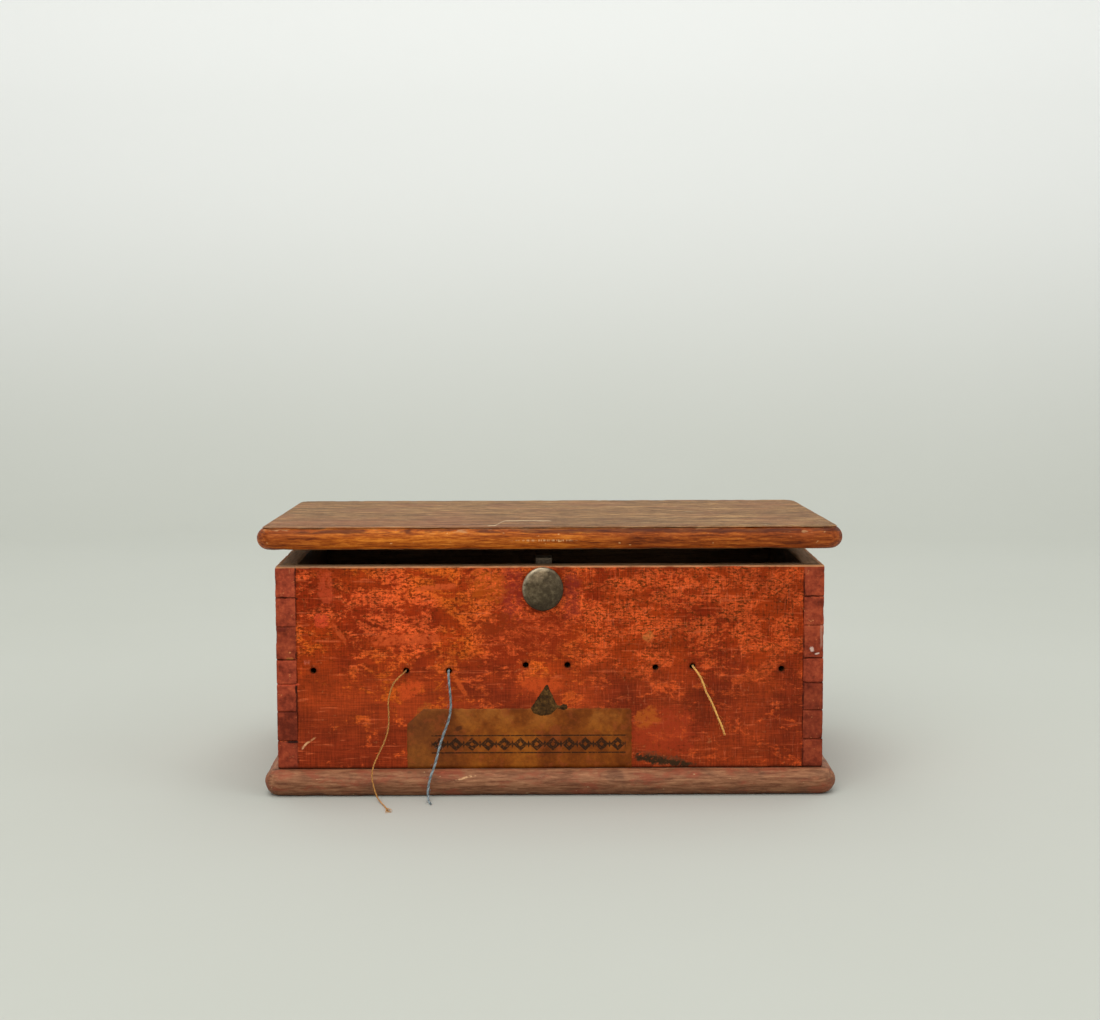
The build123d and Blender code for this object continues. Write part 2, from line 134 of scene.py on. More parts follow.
def fit_out(piece, body, slot, *nodes):
    """Gives a new piece its body and its material by slot, and hides the CAD nodes that it stands for."""
    piece.data.materials.clear()
    piece.data.materials.append(MATERIALS[slot])
    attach(piece, body)
    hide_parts(*nodes)


def get_points(mesh):
    """A mesh's points as an array."""
    points = np.zeros(len(mesh.vertices) * 3)
    mesh.vertices.foreach_get("co", points)
    return points.reshape(-1, 3)


def get_normals(mesh):
    """A mesh's point normals as an array."""
    normals = np.zeros(len(mesh.vertices) * 3)
    mesh.vertex_normals.foreach_get("vector", normals)
    return normals.reshape(-1, 3)


def set_points(mesh, points):
    """Puts an array of points back into a mesh."""
    mesh.vertices.foreach_set("co", points.ravel())
    mesh.update()


def ring_faces(rings, around, closed=False):
    """Faces of a skin over rings of points. It has a face on each end, or joins up if it is closed."""
    faces = []
    for ring in range(rings if closed else rings - 1):
        start, following = ring * around, (ring + 1) % rings * around
        for i in range(around):
            k = (i + 1) % around
            faces.append((start + i, start + k, following + k, following + i))
    if not closed:
        last = (rings - 1) * around
        faces.append(tuple(reversed(range(around))))
        faces.append(tuple(range(last, last + around)))
    return faces


def set_shade_tones(piece, tones):
    """How much lighter or darker each point of a thread is than its dye: painted light and shade on plies,
    grooves and ends, with some uneven tone.
    """
    tone_of = piece.data.attributes.new("shade_tone", "FLOAT", "POINT")
    tone_of.data.foreach_set("value", np.concatenate(tones))


def rough(points, size, seed, octaves=3):
    """Smooth noise, about -1 to 1, at each point, with features of about the given size."""
    shift = Vector((seed * 7.3, seed * 3.1, seed * 5.7))
    return np.array([noise.fractal(Vector(p) / size + shift, 0.9, 2.0, octaves) for p in points])


# --- Camera ------------------------------------------------------------------------------------


def make_camera():
    """The viewpoint: in front, a little above the rim, looking slightly down."""
    data = bpy.data.cameras.new("camera")
    data.sensor_width = 36.0
    data.lens = 63.288
    camera = add_object("camera", data)
    looks_down, turns_right, leans = 5.966, 0.42, 0.137
    pitch = Matrix.Rotation(math.radians(90 - looks_down), 4, "X")
    yaw = Matrix.Rotation(math.radians(-turns_right), 4, "Z")
    roll = Matrix.Rotation(math.radians(-leans), 4, "Z")
    place = Matrix.Translation((-0.0067, FRONT_Y - 0.9267, 0.2364))
    camera.matrix_world = place @ yaw @ pitch @ roll
    bpy.context.scene.camera = camera


make_camera()


# --- Threads -----------------------------------------------------------------------------------

# Each route is a list of points (X, distance in front of the front face, Z), from the winding to
# the loose end.
TAN_ROUTE = [
    (-0.0734, -0.0777, 0.0748),
    (-0.0727, -0.0582, 0.0732),
    (-0.0715, -0.037, 0.0676),
    (-0.0702, -0.0158, 0.0623),
    (-0.0699, -0.0036, 0.0613),
    (-0.0703, 0.0028, 0.0611),
    (-0.0724, 0.0046, 0.0597),
    (-0.0752, 0.0046, 0.0571),
    (-0.0774, 0.0038, 0.0526),
    (-0.0788, 0.003, 0.0466),
    (-0.0784, 0.0027, 0.0402),
    (-0.0786, 0.0028, 0.0336),
    (-0.0804, 0.0034, 0.0272),
    (-0.0832, 0.005, 0.0216),
    (-0.0857, 0.008, 0.0166),
    (-0.0866, 0.0102, 0.0114),
    (-0.0854, 0.011, 0.0062),
    (-0.0836, 0.0136, 0.0017),
    (-0.081, 0.019, 0.0005),
    (-0.0783, 0.0276, 0.0005),
    (-0.0763, 0.0356, 0.0005),
]
BLUE_ROUTE = [
    (-0.0472, -0.0777, 0.0749),
    (-0.0477, -0.0582, 0.073),
    (-0.0483, -0.037, 0.0672),
    (-0.0491, -0.016, 0.0621),
    (-0.0492, -0.0036, 0.0611),
    (-0.0493, 0.0032, 0.0609),
    (-0.049, 0.0062, 0.0576),
    (-0.0486, 0.0058, 0.0526),
    (-0.0482, 0.0044, 0.0472),
    (-0.0484, 0.0036, 0.0416),
    (-0.0497, 0.0034, 0.0362),
    (-0.0518, 0.0037, 0.031),
    (-0.0536, 0.0048, 0.0256),
    (-0.0549, 0.0068, 0.0206),
    (-0.056, 0.009, 0.0162),
    (-0.0578, 0.0106, 0.012),
    (-0.0589, 0.0109, 0.008),
    (-0.0593, 0.0119, 0.0042),
    (-0.059, 0.0144, 0.0015),
    (-0.0584, 0.0182, 0.00075),
    (-0.0573, 0.0216, 0.00075),
]
YELLOW_ROUTE = [
    (0.075, -0.0777, 0.0756),
    (0.0739, -0.0582, 0.0738),
    (0.0723, -0.037, 0.0684),
    (0.0702, -0.016, 0.0639),
    (0.0693, -0.0036, 0.0629),
    (0.0696, 0.0032, 0.0629),
    (0.072, 0.006, 0.0599),
    (0.0739, 0.0056, 0.056),
    (0.0753, 0.0044, 0.0513),
    (0.0779, 0.0032, 0.0468),
    (0.0799, 0.0027, 0.0422),
    (0.0818, 0.0025, 0.0374),
    (0.084, 0.0024, 0.0326),
    (0.0849, 0.0024, 0.0292),
]

# Painted light and shade: how much lighter or darker each ply of a thread is than its dye, as lit and shaded
# plies of one yarn
PLY_LIGHT_AND_SHADE = (0.45, -0.30, 0.05)


def on_route(route):
    """The route's points in the row frame."""
    return [(x, FRONT_Y - ahead, z) for x, ahead, z in route]


def centre_line(name, route):
    """Points read from a smooth NURBS line that has the route's points as its control points."""
    data = bpy.data.curves.new(name + "_line", "CURVE")
    data.dimensions = "3D"
    data.resolution_u = 40
    spline = data.splines.new("NURBS")
    spline.points.add(len(route) - 1)
    for control, point in zip(spline.points, on_route(route)):
        control.co = (*point, 1.0)
    spline.order_u = 3
    spline.use_endpoint_u = True
    curve = add_object(name + "_line", data)
    graph = bpy.context.evaluated_depsgraph_get()
    mesh = bpy.data.meshes.new_from_object(curve.evaluated_get(graph))
    points = get_points(mesh)
    bpy.data.objects.remove(curve)
    bpy.data.meshes.remove(mesh)
    return points


def carried_frames(points):
    """At each point of a line, its tangent and two directions across it that turn as little as can be."""
    tangents = np.gradient(points, axis=0)
    tangents /= np.linalg.norm(tangents, axis=1)[:, None]
    across = np.cross(tangents[0], (0.0, 0.0, 1.0))
    sides = []
    for tangent in tangents:
        across = across - tangent * (across @ tangent)
        across = across / np.linalg.norm(across)
        sides.append(across)
    sides = np.array(sides)
    return tangents, sides, np.cross(tangents, sides)


def along(points):
    """The distance from the start of a line to each of its points."""
    steps = np.linalg.norm(np.diff(points, axis=0), axis=1)
    return np.concatenate([[0.0], np.cumsum(steps)])


def tube(points, radii, around):
    """Points and faces of a tube with closed ends along a line."""
    _, side, up = carried_frames(points)
    turns = np.arange(around) * math.tau / around
    rings = [
        points[i] + radii[i] * (np.outer(np.cos(turns), side[i]) + np.outer(np.sin(turns), up[i]))
        for i in range(len(points))
    ]
    return np.concatenate(rings), ring_faces(len(points), around)


def gather(parts):
    """Joins several (points, faces) into one."""
    points, faces, start = [], [], 0
    for part_points, part_faces in parts:
        points.append(part_points)
        faces += [tuple(i + start for i in face) for face in part_faces]
        start += len(part_points)
    return np.concatenate(points), faces


def make_ply(line, frames, size, lay, phase, fray, spread, packing):
    """One ply of a twisted thread. It opens away from the others over the frayed end."""
    s = along(line)
    _, side, up = frames
    turn = phase + s * math.tau / lay
    loose = np.clip((s - (s[-1] - fray)) / fray, 0, 1) ** 1.6
    thick = size * packing
    reach = thick * 0.25 + loose * spread
    swell = 1 + 0.10 * np.sin(s * 900 + phase * 3) + 0.06 * np.sin(s * 2300 + phase)
    radii = thick * 0.255 * swell * (1 - 0.72 * loose)
    centre = line + reach[:, None] * (np.cos(turn)[:, None] * side + np.sin(turn)[:, None] * up)
    centre[:, 2] = np.maximum(centre[:, 2], radii + 0.00002)
    return tube(centre, radii, 8)


def make_fibre(line, frames, size, chance):
    """A stray fibre that stands off the thread for a few millimetres."""
    _, side, up = frames
    first = chance.randrange(int(len(line) * 0.3), len(line) - 30)
    count = chance.randrange(10, 26)
    turn = chance.uniform(0, math.tau)
    out = side[first] * math.cos(turn) + up[first] * math.sin(turn)
    share = np.linspace(0, 1, count)
    lift = size * 0.4 + chance.uniform(0.4, 1.1) * size * np.sin(share * math.pi * 0.6)
    points = line[first : first + count] + lift[:, None] * out
    points[:, 2] = np.maximum(points[:, 2], 0.00006)
    return tube(points, np.full(count, 0.000025), 4)


def make_thread(name, route, size, plies, lay, fray, spread, fibres, contrast, packing, seed):
    """A twisted thread with its loose end, as one mesh that follows the route's smooth line."""
    chance = random.Random(seed)
    line = centre_line(name, route)
    frames = carried_frames(line)
    parts = [
        make_ply(line, frames, size, lay, ply * math.tau / plies, fray, spread, packing)
        for ply in range(plies)
    ]
    parts += [make_fibre(line, frames, size, chance) for _ in range(fibres)]
    thread = add_mesh("twisted_" + name, *gather(parts))
    counts = [len(points) for points, _ in parts]
    tones = [np.full(count, tone * contrast) for count, tone in zip(counts, PLY_LIGHT_AND_SHADE[:plies])]
    tones.append(np.zeros(sum(counts[plies:])))
    set_shade_tones(thread, tones)
    return thread


def make_threads():
    """The three loose ends that hang from the front, each from its own bobbin."""
    tan_thread = make_thread(
        "thread_tan", TAN_ROUTE, 0.0008, 2, 0.0026, 0.008, 0.0017, 40, 0.5, 0.95, 11
    )
    blue_thread = make_thread(
        "thread_blue", BLUE_ROUTE, 0.00135, 3, 0.0042, 0.002, 0.0003, 30, 1.0, 0.88, 12
    )
    yellow_thread = make_thread(
        "thread_yellow", YELLOW_ROUTE, 0.0013, 3, 0.0060, 0.0035, 0.0002, 30, 0.15, 0.78, 13
    )
    return tan_thread, blue_thread, yellow_thread


# --- Stage and light ---------------------------------------------------------------------------


def make_stage():
    """A plain pale floor that curves up into the backdrop."""
    near, far, half_width, sweep = -3.0, 1.0, 4.0, 0.5
    profile = [(near, 0.0), (far, 0.0)]
    profile += [
        (far + sweep * math.sin(turn), sweep * (1 - math.cos(turn)))
        for turn in np.linspace(0.1, math.pi / 2, 16)
    ]
    profile.append((far + sweep, 4.0))
    points = [(x, y, z) for y, z in profile for x in (-half_width, half_width)]
    faces = [(2 * i, 2 * i + 1, 2 * i + 3, 2 * i + 2) for i in range(len(profile) - 1)]
    floor = add_mesh("studio_floor", points, faces)
    paint = Paint("studio_paper")
    mottle = paint.noise(paint.point, 3.0, 3)
    floor_tone = paint.mix(mottle, (187, 189, 180), (192, 194, 186))
    colour = paint.mix(paint.between(paint.z, -0.05, 0.6), floor_tone, (246, 247, 246))
    floor.data.materials.append(paint.done(colour, 0.9, specular=0.1))


def add_area_light(name, place, target, size, power, colour):
    """A soft square light that faces a point."""
    data = bpy.data.lights.new(name, "AREA")
    data.size = size
    data.energy = power
    data.color = colour
    lamp = add_object(name, data)
    turn = (Vector(target) - Vector(place)).to_track_quat("-Z", "Y").to_matrix().to_4x4()
    lamp.matrix_world = Matrix.Translation(place) @ turn


def make_lights():
    """A big soft light above and in front, weaker ones beside and above, and an even sky."""
    target = (0, 0, 0.06)
    add_area_light("key_light", (-0.5, -1.5, 1.7), target, 1.6, 21, (1.0, 0.985, 0.96))
    add_area_light("side_light", (1.7, -1.0, 1.0), target, 1.4, 7, (0.98, 0.99, 1.0))
    add_area_light("top_light", (0.0, 0.5, 2.0), target, 1.6, 6, (1.0, 1.0, 1.0))
    add_area_light("backdrop_light", (0.0, 0.1, 2.6), (0.0, 1.5, 0.9), 1.6, 16, (1.0, 1.0, 1.0))
    world = bpy.data.worlds.new("soft_sky")
    world.use_nodes = True
    sky = world.node_tree.nodes["Background"]
    sky.inputs["Color"].default_value = srgb(246, 248, 246)
    sky.inputs["Strength"].default_value = 0.58
    bpy.context.scene.world = world
    bpy.context.scene.view_settings.view_transform = "Standard"


# --- Materials ---------------------------------------------------------------------------------


class Paint:
    """One material. Each method adds a node and gives its output."""

    def __init__(self, name):
        self.material = bpy.data.materials.new(name)
        self.material.use_nodes = True
        self.tree = self.material.node_tree
        self.surface = self.tree.nodes["Principled BSDF"]
        self.point = self.tree.nodes.new("ShaderNodeTexCoord").outputs["Object"]
        self.facing = self.tree.nodes.new("ShaderNodeTexCoord").outputs["Normal"]
        self.x, self.y, self.z = self.split(self.point)

    def put(self, socket, value):
        """Links an output to a socket, or sets it to a number or to a colour in sRGB bytes."""
        if isinstance(value, bpy.types.NodeSocket):
            self.tree.links.new(value, socket)
        elif isinstance(value, tuple):
            socket.default_value = srgb(*value)
        else:
            socket.default_value = value

    def split(self, vector):
        """The three parts of a vector."""
        node = self.tree.nodes.new("ShaderNodeSeparateXYZ")
        self.put(node.inputs[0], vector)
        return node.outputs

    def math(self, operation, a, b=0.5):
        """One Math node."""
        node = self.tree.nodes.new("ShaderNodeMath")
        node.operation = operation
        self.put(node.inputs[0], a)
        self.put(node.inputs[1], b)
        return node.outputs[0]

    def plus(self, a, b):
        return self.math("ADD", a, b)

    def minus(self, a, b):
        return self.math("SUBTRACT", a, b)

    def times(self, a, b):
        return self.math("MULTIPLY", a, b)

    def size_of(self, a):
        return self.math("ABSOLUTE", a)

    def either(self, *masks):
        """The highest of several masks."""
        found = masks[0]
        for mask in masks[1:]:
            found = self.math("MAXIMUM", found, mask)
        return found

    def weigh(self, a, a_share, b, b_share):
        """Two values, each times its share, added up."""
        return self.plus(self.times(a, a_share), self.times(b, b_share))

    def scaled(self, x, y, z):
        """The object's own coordinates, scaled, so that noise is stretched where a factor is small."""
        node = self.tree.nodes.new("ShaderNodeMapping")
        self.put(node.inputs["Vector"], self.point)
        node.inputs["Scale"].default_value = (x, y, z)
        return node.outputs[0]

    def noise(self, vector, scale, detail=4.0, roughness=0.55, distortion=0.0):
        """Fractal noise, about 0.3 to 0.7."""
        node = self.tree.nodes.new("ShaderNodeTexNoise")
        self.put(node.inputs["Vector"], vector)
        node.inputs["Scale"].default_value = scale
        node.inputs["Detail"].default_value = detail
        node.inputs["Roughness"].default_value = roughness
        node.inputs["Distortion"].default_value = distortion
        return node.outputs["Fac"]

    def cell_edges(self, vector, scale):
        """Distance to the nearest edge between the cells of many scattered points."""
        node = self.tree.nodes.new("ShaderNodeTexVoronoi")
        node.feature = "DISTANCE_TO_EDGE"
        self.put(node.inputs["Vector"], vector)
        node.inputs["Scale"].default_value = scale
        return node.outputs["Distance"]

    def between(self, value, low, high):
        """0 below low, 1 above high, and smooth between them. It falls if low is above high."""
        node = self.tree.nodes.new("ShaderNodeMapRange")
        node.interpolation_type = "SMOOTHSTEP"
        falls = low > high
        self.put(node.inputs["Value"], value)
        node.inputs["From Min"].default_value = min(low, high)
        node.inputs["From Max"].default_value = max(low, high)
        node.inputs["To Min"].default_value = 1.0 if falls else 0.0
        node.inputs["To Max"].default_value = 0.0 if falls else 1.0
        return node.outputs["Result"]

    def blots(self, low, high, vector, scale, *shape):
        """A mask from noise: 0 where the noise is below low, and 1 where it is above high."""
        return self.between(self.noise(vector, scale, *shape), low, high)

    def mix(self, share, a, b, blend="MIX"):
        """Colour a, changed to colour b by a share from 0 to 1."""
        node = self.tree.nodes.new("ShaderNodeMix")
        node.data_type = "RGBA"
        node.blend_type = blend
        self.put(node.inputs["Factor"], share)
        self.put(node.inputs["A"], a)
        self.put(node.inputs["B"], b)
        return node.outputs["Result"]

    def ramp(self, value, *stops):
        """A colour for a value from (place, colour in sRGB bytes) stops."""
        node = self.tree.nodes.new("ShaderNodeValToRGB")
        self.put(node.inputs[0], value)
        elements = node.color_ramp.elements
        while len(elements) < len(stops):
            elements.new(1.0)
        for element, (place, colour) in zip(elements, stops):
            element.position = place
            element.color = srgb(*colour)
        return node.outputs["Color"]

    def tint(self, colour, mask, share, tint):
        """The colour, changed by a share to a tint under a mask."""
        return self.mix(self.times(mask, share), colour, tint)

    def shade(self, colour, value, low, high):
        """The colour made darker or lighter: times low where value is 0 and times high where it is 1."""
        factor = self.plus(self.times(value, high - low), low)
        node = self.tree.nodes.new("ShaderNodeCombineColor")
        for socket in node.inputs:
            self.put(socket, factor)
        return self.mix(1.0, colour, node.outputs[0], "MULTIPLY")

    def bump(self, height, distance):
        """A normal from a height of 0 to 1 that stands for the given distance."""
        node = self.tree.nodes.new("ShaderNodeBump")
        node.inputs["Distance"].default_value = distance
        self.put(node.inputs["Height"], height)
        return node.outputs[0]

    def spot(self, x, z, half_x, half_z, ragged, soft=0.25, turn=0.0):
        """A ragged mark on the front: 1 inside a rounded outline at (x, z) and 0 outside it."""
        dx = self.times(self.minus(self.x, x), 1 / half_x)
        dz = self.times(self.minus(self.z, z), 1 / half_z)
        if turn:
            # The outline is turned, so each half size also acts on the other axis
            slant_x = self.times(self.minus(self.x, x), 1 / half_z)
            slant_z = self.times(self.minus(self.z, z), 1 / half_x)
            cosine, sine = math.cos(turn), math.sin(turn)
            dx = self.plus(self.times(dx, cosine), self.times(slant_z, sine))
            dz = self.minus(self.times(dz, cosine), self.times(slant_x, sine))
        cubes = [self.math("POWER", self.size_of(part), 3.0) for part in (dx, dz)]
        reach = self.math("POWER", self.plus(*cubes), 1 / 3)
        stray = self.times(self.minus(ragged, 0.5), 2.4)
        return self.between(self.plus(reach, stray), 1 + soft, 1 - soft)

    def done(self, colour, roughness, normal=None, metallic=0.0, specular=0.5, sheen=0.0):
        """Sets the surface and gives the material."""
        self.put(self.surface.inputs["Base Color"], colour)
        self.put(self.surface.inputs["Roughness"], roughness)
        self.surface.inputs["Metallic"].default_value = metallic
        self.surface.inputs["Specular IOR Level"].default_value = specular
        self.surface.inputs["Sheen Weight"].default_value = sheen
        if normal is not None:
            self.put(self.surface.inputs["Normal"], normal)
        return self.material


def grain(paint, lengthways):
    """Two wood grain masks that run along an axis: broad bands and fine fibres."""
    slow = 0.07
    stretch = {"X": (slow, 1, 1), "Y": (1, slow, 1), "Z": (1, 1, slow)}[lengthways]
    vector = paint.scaled(*stretch)
    bands = paint.noise(vector, 110, 3, 0.5, 0.4)
    fibres = paint.noise(vector, 900, 5, 0.65)
    return bands, fibres


def aged_wood(name, lengthways, dark, middle, pale, gloss=0.62):
    """Bare wood gone brown with age: grain bands, fibres, pores, stains and rubbed spots."""
    paint = Paint(name)
    bands, fibres = grain(paint, lengthways)
    tone = paint.weigh(bands, 0.55, fibres, 0.45)
    colour = paint.ramp(tone, (0.36, dark), (0.50, middle), (0.64, pale))
    stains = paint.noise(paint.point, 45, 4, 0.6)
    colour = paint.shade(colour, paint.between(stains, 0.36, 0.62), 0.72, 1.08)
    specks = paint.blots(0.66, 0.72, paint.point, 900, 2, 0.5)
    colour = paint.tint(colour, specks, 0.4, dark)
    height = paint.weigh(fibres, 0.7, bands, 0.3)
    normal = paint.bump(height, 0.00022)
    roughness = paint.plus(paint.times(fibres, 0.25), gloss - 0.12)
    return paint.done(colour, roughness, normal, specular=0.35)


def weave_scratches(paint):
    """Fine rubbing marks that run level and upright, about 0 to 1."""
    level = paint.noise(paint.scaled(0.05, 0.3, 1), 1500, 2, 0.6)
    upright = paint.noise(paint.scaled(1, 0.3, 0.06), 1500, 2, 0.6)
    return level, upright


def scuffed_paint(paint, lengthways):
    """Old red paint on wood: deep red-brown under patches of bright orange-red. Gives its colour
    and a height."""
    stretch = (0.55, 1, 1) if lengthways == "X" else (1, 0.55, 1)
    spread = paint.scaled(*stretch)
    broad = paint.noise(paint.point, 28, 3, 0.5)
    patches = paint.noise(spread, 128, 9, 0.72, 0.35)
    flecks = paint.noise(spread, 620, 6, 0.72, 0.3)
    level, upright = weave_scratches(paint)
    height_share = paint.between(paint.plus(paint.z, paint.times(broad, 0.03)), 0.058, 0.097)
    right_share = paint.between(paint.x, -0.01, 0.03)
    deep = paint.mix(paint.between(broad, 0.4, 0.6), (142, 42, 8), (160, 54, 10))
    low_deep = paint.mix(paint.between(broad, 0.4, 0.6), (132, 45, 18), (158, 58, 22))
    colour = paint.mix(height_share, low_deep, deep)
    bright_tone = paint.mix(paint.between(broad, 0.40, 0.62), (226, 91, 41), (212, 94, 26))
    bright_tone = paint.mix(right_share, bright_tone, (216, 86, 36))
    left_strip = paint.between(paint.x, -0.088, -0.102)
    worn = paint.plus(patches, paint.times(paint.minus(height_share, 0.65), 0.085))
    worn = paint.plus(worn, paint.times(paint.minus(flecks, 0.5), 0.36))
    worn = paint.minus(worn, paint.times(left_strip, 0.055))
    bright = paint.between(worn, 0.478, 0.572)
    colour = paint.mix(paint.times(bright, 0.92), colour, bright_tone)
    speckle = paint.plus(paint.noise(spread, 980, 5, 0.75), paint.times(paint.minus(patches, 0.5), 0.40))
    dark_spots = paint.between(speckle, 0.520, 0.590)
    dark_share = paint.times(dark_spots, paint.plus(paint.times(height_share, 0.66), 0.24))
    dark_tone = paint.mix(right_share, (106, 38, 2), (92, 40, 2))
    colour = paint.mix(dark_share, colour, dark_tone)
    strokes = paint.blots(0.60, 0.68, paint.scaled(0.10, 0.3, 1), 520, 3, 0.6, 0.3)
    colour = paint.tint(colour, strokes, 0.40, (222, 104, 60))
    hairs = paint.blots(0.57, 0.66, paint.scaled(1, 0.3, 0.14), 900, 4, 0.7)
    colour = paint.tint(colour, paint.times(hairs, right_share), 0.34, (216, 110, 72))
    dark_hairs = paint.blots(0.54, 0.64, paint.scaled(1.2, 0.3, 0.16), 820, 5, 0.75)
    hair_depth = paint.plus(paint.times(height_share, 0.4), 0.2)
    hair_share = paint.times(paint.times(dark_hairs, right_share), hair_depth)
    colour = paint.mix(hair_share, colour, (90, 36, 6))
    scratches = paint.weigh(level, 0.5, upright, 0.5)
    colour = paint.shade(colour, paint.between(scratches, 0.36, 0.64), 0.76, 1.28)
    smears = paint.noise(paint.scaled(0.5, 0.5, 1), 75, 5, 0.65)
    colour = paint.shade(colour, paint.between(smears, 0.38, 0.62), 0.84, 1.14)
    colour = paint.shade(colour, paint.between(paint.x, 0.02, 0.09), 1.0, 0.915)
    glow = paint.times(paint.between(paint.size_of(paint.plus(paint.x, 0.035)), 0.08, 0.02), height_share)
    colour = paint.shade(colour, glow, 1.0, 1.08)
    height = paint.weigh(bright, 0.35, flecks, 0.65)
    return colour, height


def front_marks(paint, colour, ragged):
    """The larger scuffs, stains and faded places on the front, one by one."""
    orange = (214, 88, 40)
    wear = paint.blots(0.36, 0.52, paint.point, 480, 6, 0.75)
    # X, Z, half width, half height, turn, colour, share
    marks = (
        (-0.0700, 0.0765, 0.0170, 0.0026, 0.04, orange, 0.75),
        (-0.0540, 0.1023, 0.0095, 0.0013, 0.08, orange, 0.80),
        (-0.1105, 0.0859, 0.0030, 0.0028, 0.00, (216, 74, 42), 0.85),
        (-0.1026, 0.0803, 0.0058, 0.0012, -0.95, (205, 84, 38), 0.70),
        (-0.0436, 0.0535, 0.0062, 0.0011, -1.02, (206, 86, 34), 0.75),
        (-0.0680, 0.0520, 0.0062, 0.0036, 0.30, (212, 80, 32), 0.80),
        (-0.0037, 0.0540, 0.0105, 0.0036, 0.00, (206, 78, 30), 0.75),
        (0.0543, 0.0305, 0.0142, 0.0115, 0.00, (166, 56, 26), 0.75),
        (0.0470, 0.0375, 0.0058, 0.0045, 0.40, (188, 96, 30), 0.60),
        (-0.0245, 0.0845, 0.0105, 0.0052, 0.25, (122, 52, 12), 0.60),
        (-0.0110, 0.0790, 0.0230, 0.0110, 0.00, (146, 46, 12), 0.60),
        # Darker red bands on each side of the button
        (-0.0180, 0.1000, 0.0055, 0.0120, 0.00, (148, 46, 32), 0.75),
        (0.0100, 0.0990, 0.0045, 0.0120, 0.00, (134, 42, 30), 0.70),
        (-0.0300, 0.1030, 0.0080, 0.0085, 0.00, (206, 98, 22), 0.45),
        (-0.1085, 0.1030, 0.0036, 0.0075, 0.00, (208, 80, 44), 0.55),
        (0.0477, 0.0778, 0.0022, 0.0022, 0.60, (206, 128, 62), 0.50),
        (-0.1180, 0.0655, 0.0014, 0.0012, 0.00, (206, 110, 84), 0.50),
        (-0.1176, 0.0262, 0.0034, 0.0004, 0.62, (216, 156, 104), 0.80),
        (-0.1198, 0.0243, 0.0022, 0.0004, 0.95, (226, 172, 124), 0.80),
        (0.0554, 0.0166, 0.0135, 0.0028, -0.16, (82, 60, 38), 0.85),
        (0.0500, 0.0170, 0.0080, 0.0020, -0.16, (58, 38, 22), 1.00),
        (0.0610, 0.0152, 0.0100, 0.0013, -0.12, (62, 42, 24), 1.00),
        (-0.0620, 0.0405, 0.0050, 0.0024, 0.90, (178, 98, 34), 0.55),
    )
    for *outline, turn, tint, share in marks:
        mask = paint.spot(*outline, ragged, 0.30, turn)
        colour = paint.mix(paint.times(paint.times(mask, share), wear), colour, tint)
    return colour


def pin_marks(paint, colour, ragged):
    """Chips and open gaps in the dovetails' ends, one by one."""
    # The open gaps are painted near black: painted shade in the gaps
    chip, pale, gap_shade = (216, 98, 56), (232, 206, 190), (24, 12, 10)
    # X, Z, half width, half height, turn, colour, share
    marks = (
        (-0.1293, 0.0274, 0.0036, 0.0008, 0.0, chip, 0.90),
        (-0.1280, 0.0547, 0.0052, 0.0005, 0.0, (206, 82, 50), 0.85),
        (-0.1262, 0.0672, 0.0016, 0.0007, 0.0, (196, 128, 62), 0.40),
        (-0.1305, 0.0815, 0.0022, 0.0012, 0.0, (90, 30, 24), 0.60),
        (-0.1262, 0.0968, 0.0034, 0.0006, 0.0, gap_shade, 0.90),
        (-0.1232, 0.0900, 0.0004, 0.0030, 0.0, gap_shade, 0.85),
        (-0.1236, 0.0520, 0.0004, 0.0018, 0.0, gap_shade, 0.80),
        (-0.1252, 0.0262, 0.0026, 0.0006, 0.0, gap_shade, 0.90),
        (0.1272, 0.0712, 0.0009, 0.0011, 0.4, pale, 0.70),
        (0.1300, 0.0690, 0.0011, 0.0004, 0.2, pale, 0.80),
        (0.1262, 0.0664, 0.0020, 0.0005, 0.0, gap_shade, 0.90),
        (0.1318, 0.0790, 0.0006, 0.0060, 0.0, (196, 150, 128), 0.40),
    )
    for *outline, turn, tint, share in marks:
        colour = paint.tint(colour, paint.spot(*outline, ragged, 0.30, turn), share, tint)
    return colour


